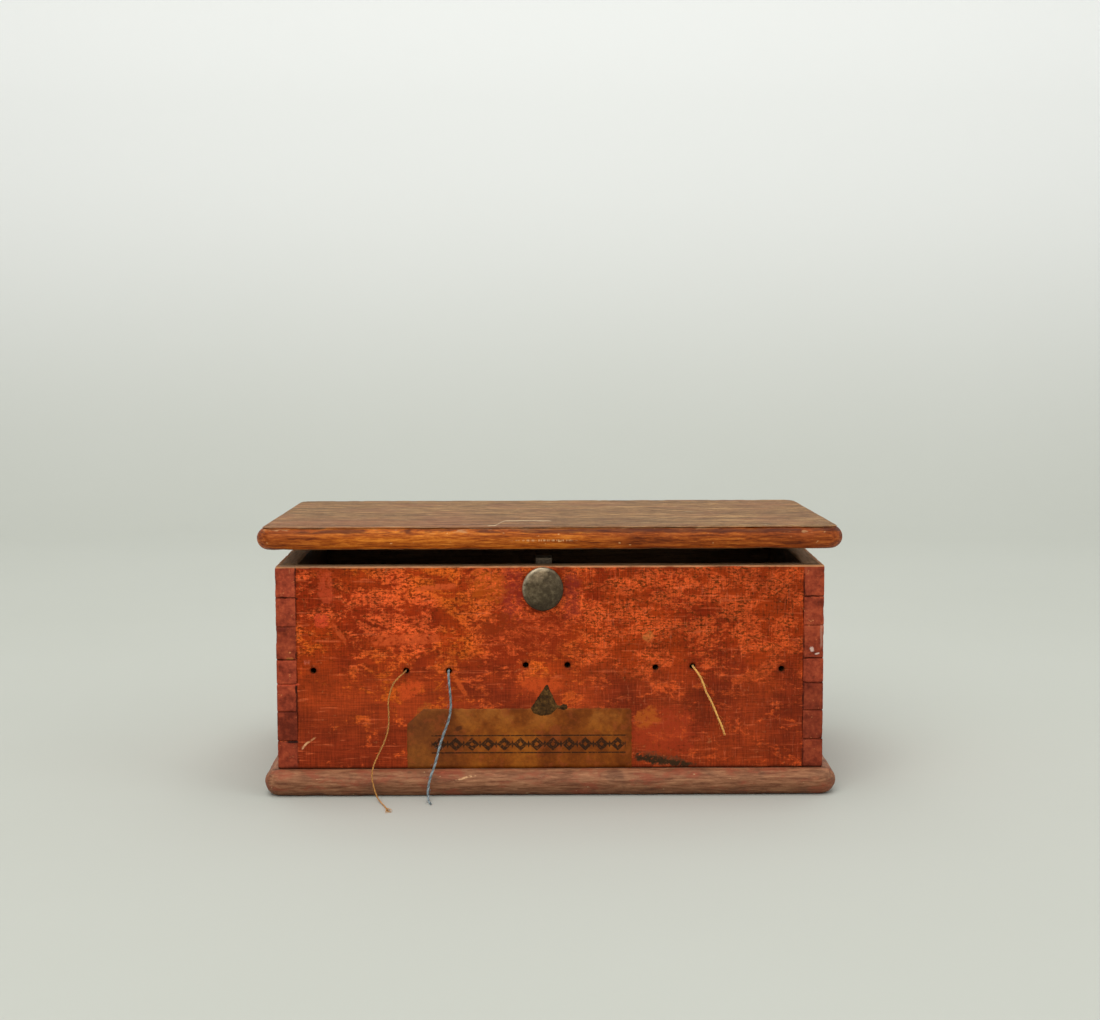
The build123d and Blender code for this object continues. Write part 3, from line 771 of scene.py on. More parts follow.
def painted_walls(name, lengthways, with_marks):
    """Scuffed red paint outside, bare aged wood inside and a rubbed rim with painted light on it, with the
    dovetails drawn in.
    """
    paint = Paint(name)
    across, across_low = (paint.x, END_X) if lengthways == "X" else (paint.y, BACK_Y)
    seam = across_low - BOARD
    colour, height = scuffed_paint(paint, lengthways)
    ragged = paint.noise(paint.point, 330, 6, 0.7)
    if with_marks:
        colour = front_marks(paint, colour, ragged)
        holes = [paint.spot(x, z, 0.0021, 0.0021, ragged, 0.4) for x, z in HOLES]
        colour = paint.tint(colour, paint.either(*holes), 0.45, (74, 28, 10))
    distance = paint.size_of(across)
    ends = paint.between(distance, seam - 0.0001, seam + 0.0001)
    # Each block between two seams has its own tone, from the number of seams below it and its end
    block = paint.math("GREATER_THAN", paint.z, SEAM_HEIGHTS[0])
    for height_z in SEAM_HEIGHTS[1:]:
        block = paint.plus(block, paint.math("GREATER_THAN", paint.z, height_z))
    random_tone = paint.tree.nodes.new("ShaderNodeTexWhiteNoise")
    random_tone.noise_dimensions = "1D"
    side = paint.times(paint.math("GREATER_THAN", across, 0.0), 17.3)
    paint.put(random_tone.inputs["W"], paint.plus(block, side))
    block_tone = random_tone.outputs["Value"]
    fine = paint.noise(paint.point, 420, 5, 0.65)
    clouds = paint.noise(paint.scaled(0.5, 0.5, 1), 90, 4, 0.6)
    smooth = paint.weigh(fine, 0.45, clouds, 0.55)
    block_colour = paint.ramp(smooth, (0.39, (108, 42, 28)), (0.5, (152, 64, 42)), (0.61, (186, 86, 54)))
    block_colour = paint.shade(block_colour, block_tone, 0.80, 1.12)
    block_colour = paint.shade(block_colour, paint.between(paint.z, 0.02, 0.08), 0.86, 1.03)
    block_colour = paint.shade(block_colour, paint.between(paint.x, -0.1, 0.1), 1.08, 0.95)
    colour = paint.mix(paint.times(ends, 0.90), colour, block_colour)
    wobble = paint.times(paint.minus(paint.noise(paint.point, 260, 3, 0.6), 0.5), 0.0012)
    seams = []
    for seam_z, strength in zip(SEAM_HEIGHTS, SEAM_STRENGTHS):
        away = paint.size_of(paint.minus(paint.plus(paint.z, wobble), seam_z))
        seams.append(paint.times(paint.between(away, 0.00055, 0.00015), strength))
    seam_lines = paint.times(paint.either(*seams), ends)
    scribe = paint.size_of(paint.minus(paint.plus(distance, wobble), seam))
    scribe_line = paint.times(paint.between(scribe, 0.00065, 0.0002), 0.95)
    gaps = paint.blots(0.42, 0.56, paint.point, 120, 4, 0.65)
    lines = paint.times(paint.either(seam_lines, scribe_line), paint.plus(paint.times(gaps, 0.75), 0.25))
    colour = paint.tint(colour, lines, 0.85, (52, 16, 8))
    chips = paint.times(paint.between(ragged, 0.64, 0.68), paint.plus(paint.times(ends, 0.6), 0.2))
    colour = paint.mix(chips, colour, (226, 148, 92))
    if with_marks:
        colour = pin_marks(paint, colour, ragged)

    # Bare wood inside and on the rim, with the outer edge of the rim rubbed pale. The rim's bare wood is
    # made paler as painted light, since the rim sits in the lid's shadow.
    outside_x = paint.between(paint.size_of(paint.x), END_X - 0.0022, END_X - 0.0014)
    outside_y = paint.between(paint.size_of(paint.y), BACK_Y - 0.0022, BACK_Y - 0.0014)
    outside = paint.either(outside_x, outside_y)
    bands, fibres = grain(paint, lengthways)
    tone = paint.weigh(bands, 0.5, fibres, 0.5)
    bare = paint.ramp(tone, (0.36, (84, 56, 36)), (0.5, (118, 84, 56)), (0.64, (146, 110, 76)))
    rim_bare_painted_light = paint.ramp(tone, (0.40, (138, 102, 72)), (0.5, (188, 146, 108)), (0.60, (214, 172, 134)))
    on_rim = paint.between(paint.plus(paint.z, paint.times(wobble, 0.3)), RIM_Z - 0.0005, RIM_Z - 0.0002)
    colour = paint.mix(outside, bare, colour)
    colour = paint.mix(on_rim, colour, rim_bare_painted_light)
    # Painted highlight: the rubbed outer edge of the rim is also made brighter to stand for light catching
    # it
    edge = paint.times(paint.between(paint.z, RIM_Z - 0.0009, RIM_Z - 0.0005), outside)
    rubbed = paint.times(edge, paint.blots(0.36, 0.52, paint.point, 70, 4, 0.6))
    colour = paint.tint(colour, rubbed, 0.85, (226, 158, 108))
    # Painted shade over the bottom 2 mm of the walls, where they meet the base
    foot = paint.times(paint.between(paint.z, FOOT_Z + 0.0022, FOOT_Z), 0.55)
    colour = paint.mix(foot, colour, (60, 28, 18))

    level, upright = weave_scratches(paint)
    surface = paint.plus(paint.times(height, 0.7), paint.times(paint.plus(level, upright), 0.2))
    surface = paint.minus(surface, paint.times(lines, 0.9))
    normal = paint.bump(surface, 0.00028)
    roughness = paint.plus(paint.times(ragged, 0.35), 0.30)
    return paint.done(colour, roughness, normal, specular=0.07)


def end_edges(paint, node, margin):
    """1 on a slab's rounded edge where that edge runs along Y, at the slab's two ends."""
    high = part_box(node)[1]
    return paint.between(paint.size_of(paint.x), high.x - margin, high.x - margin * 0.6)


def lid_wood(name):
    """The lid: grey-brown and dry on top, red-brown and streaked round its edge, bare below."""
    paint = Paint(name)
    side = end_edges(paint, "lid_board", 0.0075)
    facing_z = paint.split(paint.facing)[2]
    bands, fibres = grain(paint, "X")
    hair = paint.noise(paint.scaled(0.16, 1, 1), 1900, 4, 0.75)
    tone = paint.plus(paint.weigh(bands, 0.2, fibres, 0.3), paint.times(hair, 0.5))
    crumbs = paint.noise(paint.scaled(0.2, 1, 1), 400, 9, 0.86)
    tone = paint.weigh(tone, 0.35, crumbs, 0.65)
    top = paint.ramp(tone, (0.42, (70, 44, 24)), (0.5, (128, 91, 55)), (0.58, (190, 148, 98)))
    blotch = paint.noise(paint.point, 30, 4, 0.6)
    top = paint.tint(top, paint.between(blotch, 0.48, 0.60), 0.30, (140, 88, 60))
    red_corner = paint.times(paint.between(paint.y, -0.01, -0.06), paint.between(paint.x, 0.03, -0.05))
    top = paint.tint(top, red_corner, 0.30, (140, 78, 50))
    long_streaks = paint.noise(paint.scaled(0.05, 1, 1), 240, 7, 0.7)
    top = paint.shade(top, paint.between(long_streaks, 0.38, 0.62), 0.74, 1.20)
    top = paint.shade(top, paint.between(paint.y, -0.08, 0.05), 0.94, 1.04)
    dusty = paint.times(paint.blots(0.56, 0.68, paint.scaled(0.25, 1, 1), 300, 6, 0.7), 0.32)
    top = paint.mix(dusty, top, (180, 156, 112))
    pores = paint.blots(0.62, 0.70, paint.scaled(0.08, 1, 1), 1500, 2, 0.5)
    top = paint.tint(top, pores, 0.5, (96, 64, 44))
    scratch = paint.blots(0.685, 0.71, paint.scaled(0.12, 1.6, 1), 420, 3, 0.6, 1.2)
    top = paint.tint(top, scratch, 0.8, (206, 184, 150))
    # One long pale scratch that starts at the front edge, left of the middle, and turns level
    stray = paint.times(paint.minus(paint.noise(paint.scaled(1, 0.3, 1), 110, 3, 0.6), 0.5), 0.008)
    drop = paint.times(paint.between(paint.x, -0.0215, -0.0275), 0.027)
    from_line = paint.size_of(paint.plus(paint.plus(paint.y, stray), paint.plus(drop, 0.050)))
    on_line = paint.between(from_line, 0.0021, 0.0007)
    in_reach = paint.between(paint.size_of(paint.plus(paint.x, 0.0145)), 0.0160, 0.0145)
    worn_through = paint.between(crumbs, 0.40, 0.52)
    long_scratch = paint.times(paint.times(on_line, in_reach), worn_through)
    top = paint.tint(top, long_scratch, 0.85, (226, 200, 160))

    along_x = paint.noise(paint.scaled(0.09, 0.5, 1), 760, 9, 0.79, 0.2)
    along_y = paint.noise(paint.scaled(0.5, 0.09, 1), 760, 9, 0.79, 0.2)
    streaks = paint.plus(paint.times(along_x, paint.minus(1.0, side)), paint.times(along_y, side))
    worn = paint.noise(paint.point, 18, 3, 0.5)
    middle = paint.between(paint.size_of(paint.plus(paint.x, 0.046)), 0.110, 0.050)
    glow = paint.plus(paint.times(middle, 0.65), paint.times(paint.between(worn, 0.4, 0.6), 0.4))
    dull = paint.ramp(
        streaks, (0.38, (82, 32, 10)), (0.5, (136, 60, 20)), (0.62, (180, 92, 38))
    )
    warm = paint.ramp(
        streaks, (0.38, (112, 46, 6)), (0.5, (178, 88, 20)), (0.62, (226, 134, 42))
    )
    edge = paint.mix(glow, dull, warm)
    chips = paint.blots(0.70, 0.73, paint.scaled(0.5, 0.5, 1), 620, 3, 0.6)
    edge = paint.tint(edge, chips, 0.8, (228, 176, 116))
    # A broken row of pale nicks along the middle of the front edge
    nick_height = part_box("lid_board")[1].z - 0.0063
    nick_row = paint.spot(-0.0014, nick_height, 0.0135, 0.00045, crumbs, 0.3)
    broken = paint.blots(0.46, 0.54, paint.scaled(1, 0, 0), 900, 2, 0.5)
    in_front = paint.between(paint.y, -0.05, -0.06)
    nicks = paint.times(paint.times(nick_row, broken), in_front)
    edge = paint.tint(edge, nicks, 0.55, (238, 190, 136))
    # Along the arris: painted shade in dark patches, and pale patches
    at_arris = paint.times(paint.between(facing_z, 0.45, 0.60), paint.between(facing_z, 0.90, 0.75))
    patchy = paint.noise(paint.scaled(0.3, 0.3, 1), 130, 4, 0.65)
    arris_shade = paint.times(at_arris, paint.between(patchy, 0.44, 0.54))
    edge = paint.tint(edge, arris_shade, 0.75, (72, 30, 12))
    pale_arris = paint.times(at_arris, paint.between(patchy, 0.42, 0.38))
    edge = paint.tint(edge, pale_arris, 0.5, (206, 158, 108))
    top_share = paint.between(paint.plus(facing_z, paint.times(paint.minus(blotch, 0.5), 0.3)), 0.80, 0.93)
    under = paint.ramp(tone, (0.36, (74, 48, 30)), (0.5, (106, 74, 48)), (0.62, (132, 98, 66)))
    under_share = paint.between(facing_z, -0.86, -0.95)
    colour = paint.mix(top_share, edge, top)
    colour = paint.mix(under_share, colour, under)
    height = paint.weigh(hair, 0.4, streaks, 0.6)
    normal = paint.bump(height, 0.0003)
    roughness = paint.plus(paint.times(top_share, 0.22), paint.plus(paint.times(fibres, 0.2), 0.34))
    return paint.done(colour, roughness, normal, specular=0.12)


def base_wood(name):
    """The base board: brown wood with rubbed remnants of the red paint."""
    paint = Paint(name)
    side = end_edges(paint, "base_board", 0.006)
    along_x = paint.noise(paint.scaled(0.10, 0.6, 1), 760, 8, 0.74, 0.3)
    along_y = paint.noise(paint.scaled(0.6, 0.10, 1), 760, 8, 0.74, 0.3)
    streaks = paint.plus(paint.times(along_x, paint.minus(1.0, side)), paint.times(along_y, side))
    colour = paint.ramp(
        streaks, (0.36, (106, 64, 44)), (0.5, (142, 94, 66)), (0.64, (174, 122, 88))
    )
    remnants = paint.noise(paint.scaled(0.4, 0.6, 1), 150, 7, 0.7)
    colour = paint.tint(colour, paint.between(remnants, 0.48, 0.62), 0.62, (150, 74, 52))
    colour = paint.tint(colour, paint.between(remnants, 0.64, 0.70), 0.7, (176, 92, 66))
    # Painted light and shade: the rounded edge is lighter towards its top and darker towards its bottom
    colour = paint.shade(colour, paint.between(paint.z, 0.003, 0.011), 0.84, 1.10)
    dirt = paint.blots(0.52, 0.66, paint.point, 60, 4, 0.6)
    colour = paint.tint(colour, dirt, 0.4, (84, 58, 46))
    chips = paint.blots(0.70, 0.73, paint.scaled(0.35, 0.5, 1), 500, 3, 0.6)
    colour = paint.tint(colour, chips, 0.8, (214, 180, 132))
    # One pale scrape on the front edge, left of the middle
    scrape = paint.either(
        paint.spot(-0.0425, 0.0093, 0.0040, 0.00045, streaks, 0.4, 0.30),
        paint.spot(-0.0385, 0.0102, 0.0022, 0.00035, streaks, 0.4, 0.10),
    )
    broken = paint.blots(0.44, 0.54, paint.scaled(0.5, 0.5, 1), 1300, 3, 0.6)
    scrape = paint.times(paint.times(scrape, broken), paint.between(paint.y, -0.03, -0.05))
    colour = paint.tint(colour, scrape, 0.8, (224, 176, 128))
    # Painted shade along the lines where the front and back walls stand on the base
    corner = paint.size_of(paint.minus(paint.size_of(paint.y), BACK_Y))
    in_corner = paint.between(corner, 0.0018, 0.0002)
    join_shade = paint.times(in_corner, paint.between(paint.z, FOOT_Z - 0.001, FOOT_Z))
    colour = paint.tint(colour, join_shade, 0.7, (48, 24, 18))
    normal = paint.bump(streaks, 0.0003)
    roughness = paint.plus(paint.times(streaks, 0.3), 0.42)
    return paint.done(colour, roughness, normal, specular=0.12)


def old_metal(name, dark, middle, pale, roughness_low, metallic, dent=0.00012, painted_rim_light=False):
    """Metal with a dull skin: mottled colour, pits, bright rubbed specks and fine scratches."""
    paint = Paint(name)
    mottle = paint.noise(paint.point, 420, 7, 0.68)
    colour = paint.ramp(mottle, (0.32, dark), (0.5, middle), (0.72, pale))
    pits = paint.blots(0.62, 0.72, paint.point, 1600, 3, 0.6)
    colour = paint.tint(colour, pits, 0.5, dark)
    specks = paint.blots(0.66, 0.72, paint.point, 2300, 2, 0.5)
    colour = paint.tint(colour, specks, 0.5, pale)
    if painted_rim_light:
        # Painted light on the button: lighter to the upper left and darker to the lower right, a painted
        # highlight on the upper-left rim, and painted shade on the lower rim
        from_x = paint.times(paint.minus(paint.x, BUTTON.x), 1 / 0.01)
        from_z = paint.times(paint.minus(paint.z, BUTTON.z), 1 / 0.01075)
        reach = paint.math("SQRT", paint.plus(paint.times(from_x, from_x), paint.times(from_z, from_z)))
        to_upper_left = paint.minus(from_z, paint.times(from_x, 0.8))
        colour = paint.shade(colour, paint.between(to_upper_left, -1.0, 1.2), 0.78, 1.28)
        upper_left = paint.between(to_upper_left, 0.0, 1.3)
        rubbed = paint.times(paint.between(reach, 0.78, 0.95), paint.between(mottle, 0.36, 0.5))
        colour = paint.tint(colour, paint.times(rubbed, upper_left), 0.8, (196, 180, 152))
        lower = paint.times(paint.between(reach, 0.6, 0.98), paint.between(from_z, 0.1, -0.9))
        colour = paint.tint(colour, lower, 0.45, (44, 32, 22))
    fine = paint.noise(paint.scaled(1, 1, 0.12), 2600, 3, 0.6)
    height = paint.weigh(mottle, 0.7, fine, 0.3)
    normal = paint.bump(height, dent)
    roughness = paint.plus(paint.times(mottle, 0.4), roughness_low)
    return paint.done(colour, roughness, normal, metallic=metallic, specular=0.5)


def label_paper(name):
    """Amber old paper with a worn printed band of lozenges between rules."""
    paint = Paint(name)
    blotch = paint.noise(paint.point, 55, 5, 0.6)
    fibre = paint.noise(paint.point, 700, 5, 0.65)
    left_share = paint.between(paint.x, -0.030, -0.066)
    colour = paint.ramp(blotch, (0.38, (108, 50, 8)), (0.5, (132, 66, 14)), (0.62, (156, 86, 22)))
    colour = paint.tint(colour, left_share, 0.45, (108, 62, 32))
    upper = paint.times(paint.between(paint.z, 0.030, 0.040), paint.between(blotch, 0.44, 0.58))
    colour = paint.tint(colour, upper, 0.5, (160, 94, 38))
    colour = paint.shade(colour, paint.between(fibre, 0.34, 0.66), 0.86, 1.12)
    rubbed = paint.blots(0.53, 0.62, paint.point, 150, 6, 0.7)
    colour = paint.tint(colour, rubbed, 0.35, (158, 74, 34))

    # The printed band: lozenges with a pale heart, a dot between each two, and a rule on each side
    middle_z, pitch, half_height = 0.0248, 0.0079, 0.0034
    cell = paint.math("FRACT", paint.times(paint.plus(paint.x, 0.0580), 1 / pitch))
    from_heart = paint.size_of(paint.minus(cell, 0.5))
    rise = paint.times(paint.size_of(paint.minus(paint.z, middle_z)), 1 / half_height)
    lozenge = paint.plus(paint.times(from_heart, 2.15), rise)
    solid = paint.between(lozenge, 1.03, 0.97)
    heart = paint.between(lozenge, 0.34, 0.28)
    dots = paint.between(paint.plus(paint.times(paint.minus(0.5, from_heart), 6.5), rise), 0.62, 0.54)
    rules = paint.between(paint.size_of(paint.minus(rise, 1.25)), 0.12, 0.07)
    ends = paint.between(paint.size_of(paint.plus(paint.x, 0.0106)), 0.0475, 0.0472)
    ink_shape = paint.either(paint.minus(solid, heart), paint.either(dots, rules))
    worn = paint.blots(0.64, 0.50, paint.point, 900, 5, 0.7)
    ink = paint.times(paint.times(ink_shape, ends), paint.plus(paint.times(worn, 0.70), 0.22))
    colour = paint.mix(ink, colour, (40, 26, 12))
    blot = paint.spot(-0.0445, 0.0328, 0.0016, 0.0010, blotch, 0.3, 0.4)
    colour = paint.tint(colour, blot, 0.7, (70, 34, 14))
    height = paint.weigh(fibre, 0.6, blotch, 0.4)
    normal = paint.bump(height, 0.0002)
    roughness = paint.plus(paint.times(fibre, 0.3), 0.45)
    return paint.done(colour, roughness, normal, specular=0.12)


def remnant_skin(name):
    """The dark olive scrap: dry, crazed and dusty."""
    paint = Paint(name)
    mottle = paint.noise(paint.point, 380, 7, 0.7)
    colour = paint.ramp(mottle, (0.36, (48, 30, 10)), (0.5, (82, 54, 22)), (0.66, (114, 80, 38)))
    cracks = paint.between(paint.cell_edges(paint.point, 800), 0.09, 0.02)
    colour = paint.tint(colour, cracks, 0.5, (34, 22, 10))
    height = paint.minus(mottle, paint.times(cracks, 0.4))
    normal = paint.bump(height, 0.0003)
    return paint.done(colour, paint.plus(paint.times(mottle, 0.3), 0.5), normal, specular=0.12)


def yarn(name, dark, middle, pale):
    """Spun cotton: uneven dye, fine fibres and a soft sheen."""
    paint = Paint(name)
    slub = paint.noise(paint.point, 260, 4, 0.6)
    fibre = paint.noise(paint.point, 2600, 3, 0.65)
    tone = paint.weigh(slub, 0.22, fibre, 0.78)
    colour = paint.ramp(tone, (0.38, dark), (0.5, middle), (0.62, pale))
    # Painted light and shade, read from a point attribute: lit and shaded plies on the threads, darker
    # grooves and ends on the windings
    ply = paint.tree.nodes.new("ShaderNodeAttribute")
    ply.attribute_name = "shade_tone"
    colour = paint.shade(colour, ply.outputs["Fac"], 1.0, 2.0)
    normal = paint.bump(fibre, 0.00008)
    return paint.done(colour, paint.plus(paint.times(fibre, 0.2), 0.7), normal, specular=0.15, sheen=0.25)


def yarn_tones(red, green, blue):
    """Dark, middle and pale tones of one dye."""
    shares = (0.68, 1.0, 1.22)
    return [tuple(min(255, byte * share) for byte in (red, green, blue)) for share in shares]


def make_materials():
    """Every material by the record's slot name."""
    made = {
        "painted_front": painted_walls("painted_front", "X", True),
        "painted_walls": painted_walls("painted_walls", "X", False),
        "painted_ends": painted_walls("painted_ends", "Y", False),
        "lid_wood": lid_wood("lid_wood"),
        "base_wood": base_wood("base_wood"),
        "inner_wood": aged_wood("inner_wood", "Z", (70, 46, 30), (104, 72, 46), (132, 98, 66)),
        "bobbin_wood": aged_wood(
            "bobbin_wood", "X", (122, 80, 44), (160, 114, 70), (190, 146, 98), 0.5
        ),
        "dark_iron": old_metal(
            "dark_iron", (58, 46, 32), (86, 72, 52), (126, 110, 84), 0.16, 0.7, 0.00007, True
        ),
        "spring_steel": old_metal(
            "spring_steel", (84, 72, 58), (114, 100, 82), (146, 132, 112), 0.3, 0.6, 0.00005
        ),
        "brass": old_metal("brass", (98, 76, 42), (130, 100, 56), (160, 128, 76), 0.2, 0.9, 0.00004),
        "screw_steel": old_metal(
            "screw_steel", (72, 62, 52), (102, 90, 76), (132, 118, 102), 0.26, 0.8, 0.00004
        ),
        "label_paper": label_paper("label_paper"),
        "patch": remnant_skin("patch"),
    }
    dyes = {
        "tan_thread": (184, 128, 60),
        "blue_thread": (122, 134, 138),
        "yellow_thread": (242, 174, 88),
        "red_thread": (156, 40, 30),
        "white_thread": (214, 206, 186),
        "green_thread": (74, 98, 58),
        "black_thread": (44, 40, 38),
        "brown_thread": (104, 66, 40),
    }
    for slot, dye in dyes.items():
        made[slot] = yarn(slot, *yarn_tones(*dye))
    return made


MATERIALS = make_materials()
make_stage()
make_lights()


# --- Walls -------------------------------------------------------------------------------------


def ease_holes(points):
    """Makes the remeshed thread holes round again."""
    for x, z in HOLES:
        away = points[:, [0, 2]] - (x, z)
        reach = np.linalg.norm(away, axis=1)
        inside = (reach < HOLE_RADIUS + 0.0004) & (reach > 1e-6)
        scale = HOLE_RADIUS / reach[inside]
        points[inside, 0] = x + away[inside, 0] * scale
        points[inside, 2] = z + away[inside, 1] * scale
    return points


def edge_wear(points, normals, seed):
    """Dents and rounding along a wall's outer edges and rim, and a hand-planed unevenness elsewhere."""
    to_x = END_X - np.abs(points[:, 0])
    to_y = BACK_Y - np.abs(points[:, 1])
    to_rim = RIM_Z - points[:, 2]
    outer = np.sort(np.stack([to_x, to_y, to_rim], axis=1), axis=1)
    nearness = np.exp(-outer[:, 1] / 0.0011) * (outer[:, 0] < 0.0012)
    dents = np.clip(rough(points, 0.006, seed) - 0.12, 0, 1)
    nicks = np.clip(rough(points, 0.0022, seed + 5, 2) - 0.42, 0, 1)
    waves = rough(points, 0.03, seed + 9, 2)
    depth = nearness * (0.0010 * dents + 0.0016 * nicks - 0.00015) + 0.00004 * waves
    moved = points - normals * depth[:, None]
    moved[:, 2] = np.clip(moved[:, 2], FOOT_Z, RIM_Z)
    return moved


def make_worn_wall(node, slot, finish, voxel, ratio, seed):
    """A wall board with eased, dented edges, so that its joints show as real grooves."""
    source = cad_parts[node].data
    wall = add_object("worn_" + node, source.copy())
    wall.data.materials.clear()
    remesh = wall.modifiers.new("remesh", "REMESH")
    remesh.mode = "VOXEL"
    remesh.voxel_size = voxel
    remesh.use_smooth_shade = True
    apply_modifiers(wall)
    points = edge_wear(get_points(wall.data), get_normals(wall.data), seed)
    if node == "front_board":
        points = ease_holes(points)
    set_points(wall.data, points)
    thin = wall.modifiers.new("thin", "DECIMATE")
    thin.ratio = ratio
    apply_modifiers(wall)
    wall.data.shade_smooth()
    fit_out(wall, "root", slot, node)
    wall.data.materials[0] = MATERIALS[finish]


def make_walls():
    """The four dovetailed boards. The grain of the painted_ends finish runs along Y."""
    make_worn_wall("front_board", "painted_front", "painted_front", 0.0006, 0.55, 1)
    make_worn_wall("back_board", "painted_walls", "painted_walls", 0.0008, 0.7, 2)
    make_worn_wall("left_end_board", "painted_walls", "painted_ends", 0.0008, 0.8, 3)
    make_worn_wall("right_end_board", "painted_walls", "painted_ends", 0.0008, 0.8, 4)


# --- Lid and base ------------------------------------------------------------------------------


def rounded_outline(half_x, half_y, corner, step):
    """Points and outward directions round a rectangle with rounded corners."""
    points, outward = [], []
    corners = ((1, 1, 0), (-1, 1, 90), (-1, -1, 180), (1, -1, 270))
    arc_steps = max(6, int(corner * math.pi / 2 / step * 1.6))
    for index, (sign_x, sign_y, start) in enumerate(corners):
        centre = np.array((sign_x * (half_x - corner), sign_y * (half_y - corner)))
        for turn in np.radians(start + np.linspace(0, 90, arc_steps + 1)):
            direction = np.array((math.cos(turn), math.sin(turn)))
            points.append(centre + corner * direction)
            outward.append(direction)
        side = half_x - corner if index % 2 == 0 else half_y - corner
        direction = outward[-1]
        forward = np.array((-direction[1], direction[0]))
        count = int(2 * side / step)
        for i in range(1, count):
            points.append(centre + corner * direction + forward * (2 * side * i / count))
            outward.append(direction)
    return np.array(points), np.array(outward)


def make_slab(name, half_x, half_y, low_z, thick, corner, arris, wear, swell, seed):
    """A board with a half-round edge, or with a crisp arris at the top of that edge. The edge is dented
    to a depth of about wear, and stands out by swell where it isn't."""
    outline, outward = rounded_outline(half_x, half_y, corner, 0.0011)
    radius = thick / 2
    turns = np.radians(np.linspace(-90, 90, 15))
    profile = [(radius * (1 - math.cos(turn)), radius * (1 + math.sin(turn))) for turn in turns]
    if arris:
        kept, inset = radius - 0.0009, radius * 0.45
        profile = [(across, z) for across, z in profile if across < kept or z < radius]
        profile += [(inset, thick - 0.0005), (inset + 0.0006, thick)]
    inner_rings = (0.004, 0.010, 0.022)
    deepest = profile[-1][0]
    bottom = [(profile[0][0] + extra, 0.0) for extra in reversed(inner_rings)]
    top = [(deepest + extra, thick) for extra in inner_rings]
    rings = bottom + profile + top
    points = []
    deepest_offset = corner * 0.9
    for inset, z in rings:
        place = outline - outward * min(inset, deepest_offset)
        if inset > deepest_offset:
            shrink_x = (half_x - inset) / (half_x - deepest_offset)
            shrink_y = (half_y - inset) / (half_y - deepest_offset)
            place = place * (shrink_x, shrink_y)
        points.append(np.column_stack([place, np.full(len(place), low_z + z)]))
    count = len(outline)
    slab = add_mesh(name, np.concatenate(points), ring_faces(len(rings), count))
    points = get_points(slab.data)
    normals = get_normals(slab.data)
    shares = [0.0] * len(bottom) + [1.0] * len(profile) + [0.3, 0.0, 0.0]
    edge_share = np.repeat(shares, count)
    dents = np.clip(rough(points, 0.011, seed) - 0.10, 0, 1)
    nicks = np.clip(rough(points * (0.6, 0.6, 1.0), 0.0035, seed + 4, 3) - 0.36, 0, 1)
    waves = rough(points, 0.05, seed + 8, 2)
    depth = edge_share * wear * (0.9 * dents + 1.1 * nicks + 0.25 * (waves + 0.6))
    depth = np.clip(depth, 0, None) - swell * edge_share
    points = points - normals * depth[:, None]
    points[:, 2] = np.clip(points[:, 2], low_z, low_z + thick)
    set_points(slab.data, points)
    return slab


def cut_out(piece, boxes, cylinders=()):
    """Cuts boxes, given as (low, high), and upright cylinders, given as (x, y, low z, high z,
    radius), from a piece."""
    cutters = bmesh.new()
    for low, high in boxes:
        low, high = Vector(low), Vector(high)
        place = Matrix.Translation((low + high) / 2) @ Matrix.Diagonal((*(high - low), 1))
        bmesh.ops.create_cube(cutters, size=1.0, matrix=place)
    for x, y, low_z, high_z, radius in cylinders:
        place = Matrix.Translation((x, y, (low_z + high_z) / 2))
        bmesh.ops.create_cone(
            cutters, cap_ends=True, segments=40, radius1=radius, radius2=radius, depth=high_z - low_z,
            matrix=place,
        )
    mesh = bpy.data.meshes.new(piece.name + "_cutters")
    cutters.to_mesh(mesh)
    cutters.free()
    cutter = add_object(piece.name + "_cutters", mesh)
    cut = piece.modifiers.new("cut", "BOOLEAN")
    cut.operation = "DIFFERENCE"
    cut.solver = "EXACT"
    cut.object = cutter
    apply_modifiers(piece)
    bpy.data.objects.remove(cutter)
    piece.data.shade_smooth()
    piece.data.set_sharp_from_angle(angle=CREASE)


def make_lid():
    """The lid, drawn level, cut for the strike plate and its mortise, then opened to its rest angle."""
    half_x, half_y = END_X + LID_OVERHANG, BACK_Y + LID_OVERHANG
    lid = make_slab("worn_lid", half_x, half_y, LID_UNDER, LID_THICK, LID_CORNER, True, 0.0005, 0.0, 21)
    strike_low = (-0.0179, -0.0723, LID_UNDER - 0.001)
    strike_high = (0.0121, -0.0575, LID_UNDER + 0.0012)
    mortise_low = (-0.0091, -0.0718, LID_UNDER)
    mortise_high = (0.0033, -0.0605, LID_UNDER + 0.0056)
    cut_out(lid, [(strike_low, strike_high)])
    cut_out(lid, [(mortise_low, mortise_high)])
    hinge = Matrix.Translation((0, HINGE_Y, HINGE_Z))
    lid.data.transform(hinge @ Matrix.Rotation(-LID_TILT, 4, "X") @ hinge.inverted())
    fit_out(lid, "lid", "lid_wood", "lid_board")


def make_base():
    """The base board, with a hollow under each nail's head."""
    half_x, half_y = END_X + BASE_OVERHANG, BACK_Y + BASE_OVERHANG
    base = make_slab("worn_base", half_x, half_y, 0.0, FOOT_Z, BASE_CORNER, False, 0.0006, 0.00035, 31)
    wall_x, wall_y = END_X - BOARD / 2, BACK_Y - BOARD / 2
    nails = [(x, side * wall_y) for side in (-1, 1) for x in (-0.1, -0.035, 0.035, 0.1)]
    nails += [(side * wall_x, y) for side in (-1, 1) for y in (-0.035, 0.035)]
    cut_out(base, [], [(x, y, -0.001, 0.0011, 0.00225) for x, y in nails])
    fit_out(base, "root", "base_wood", "base_board")


# --- Button and catch --------------------------------------------------------------------------


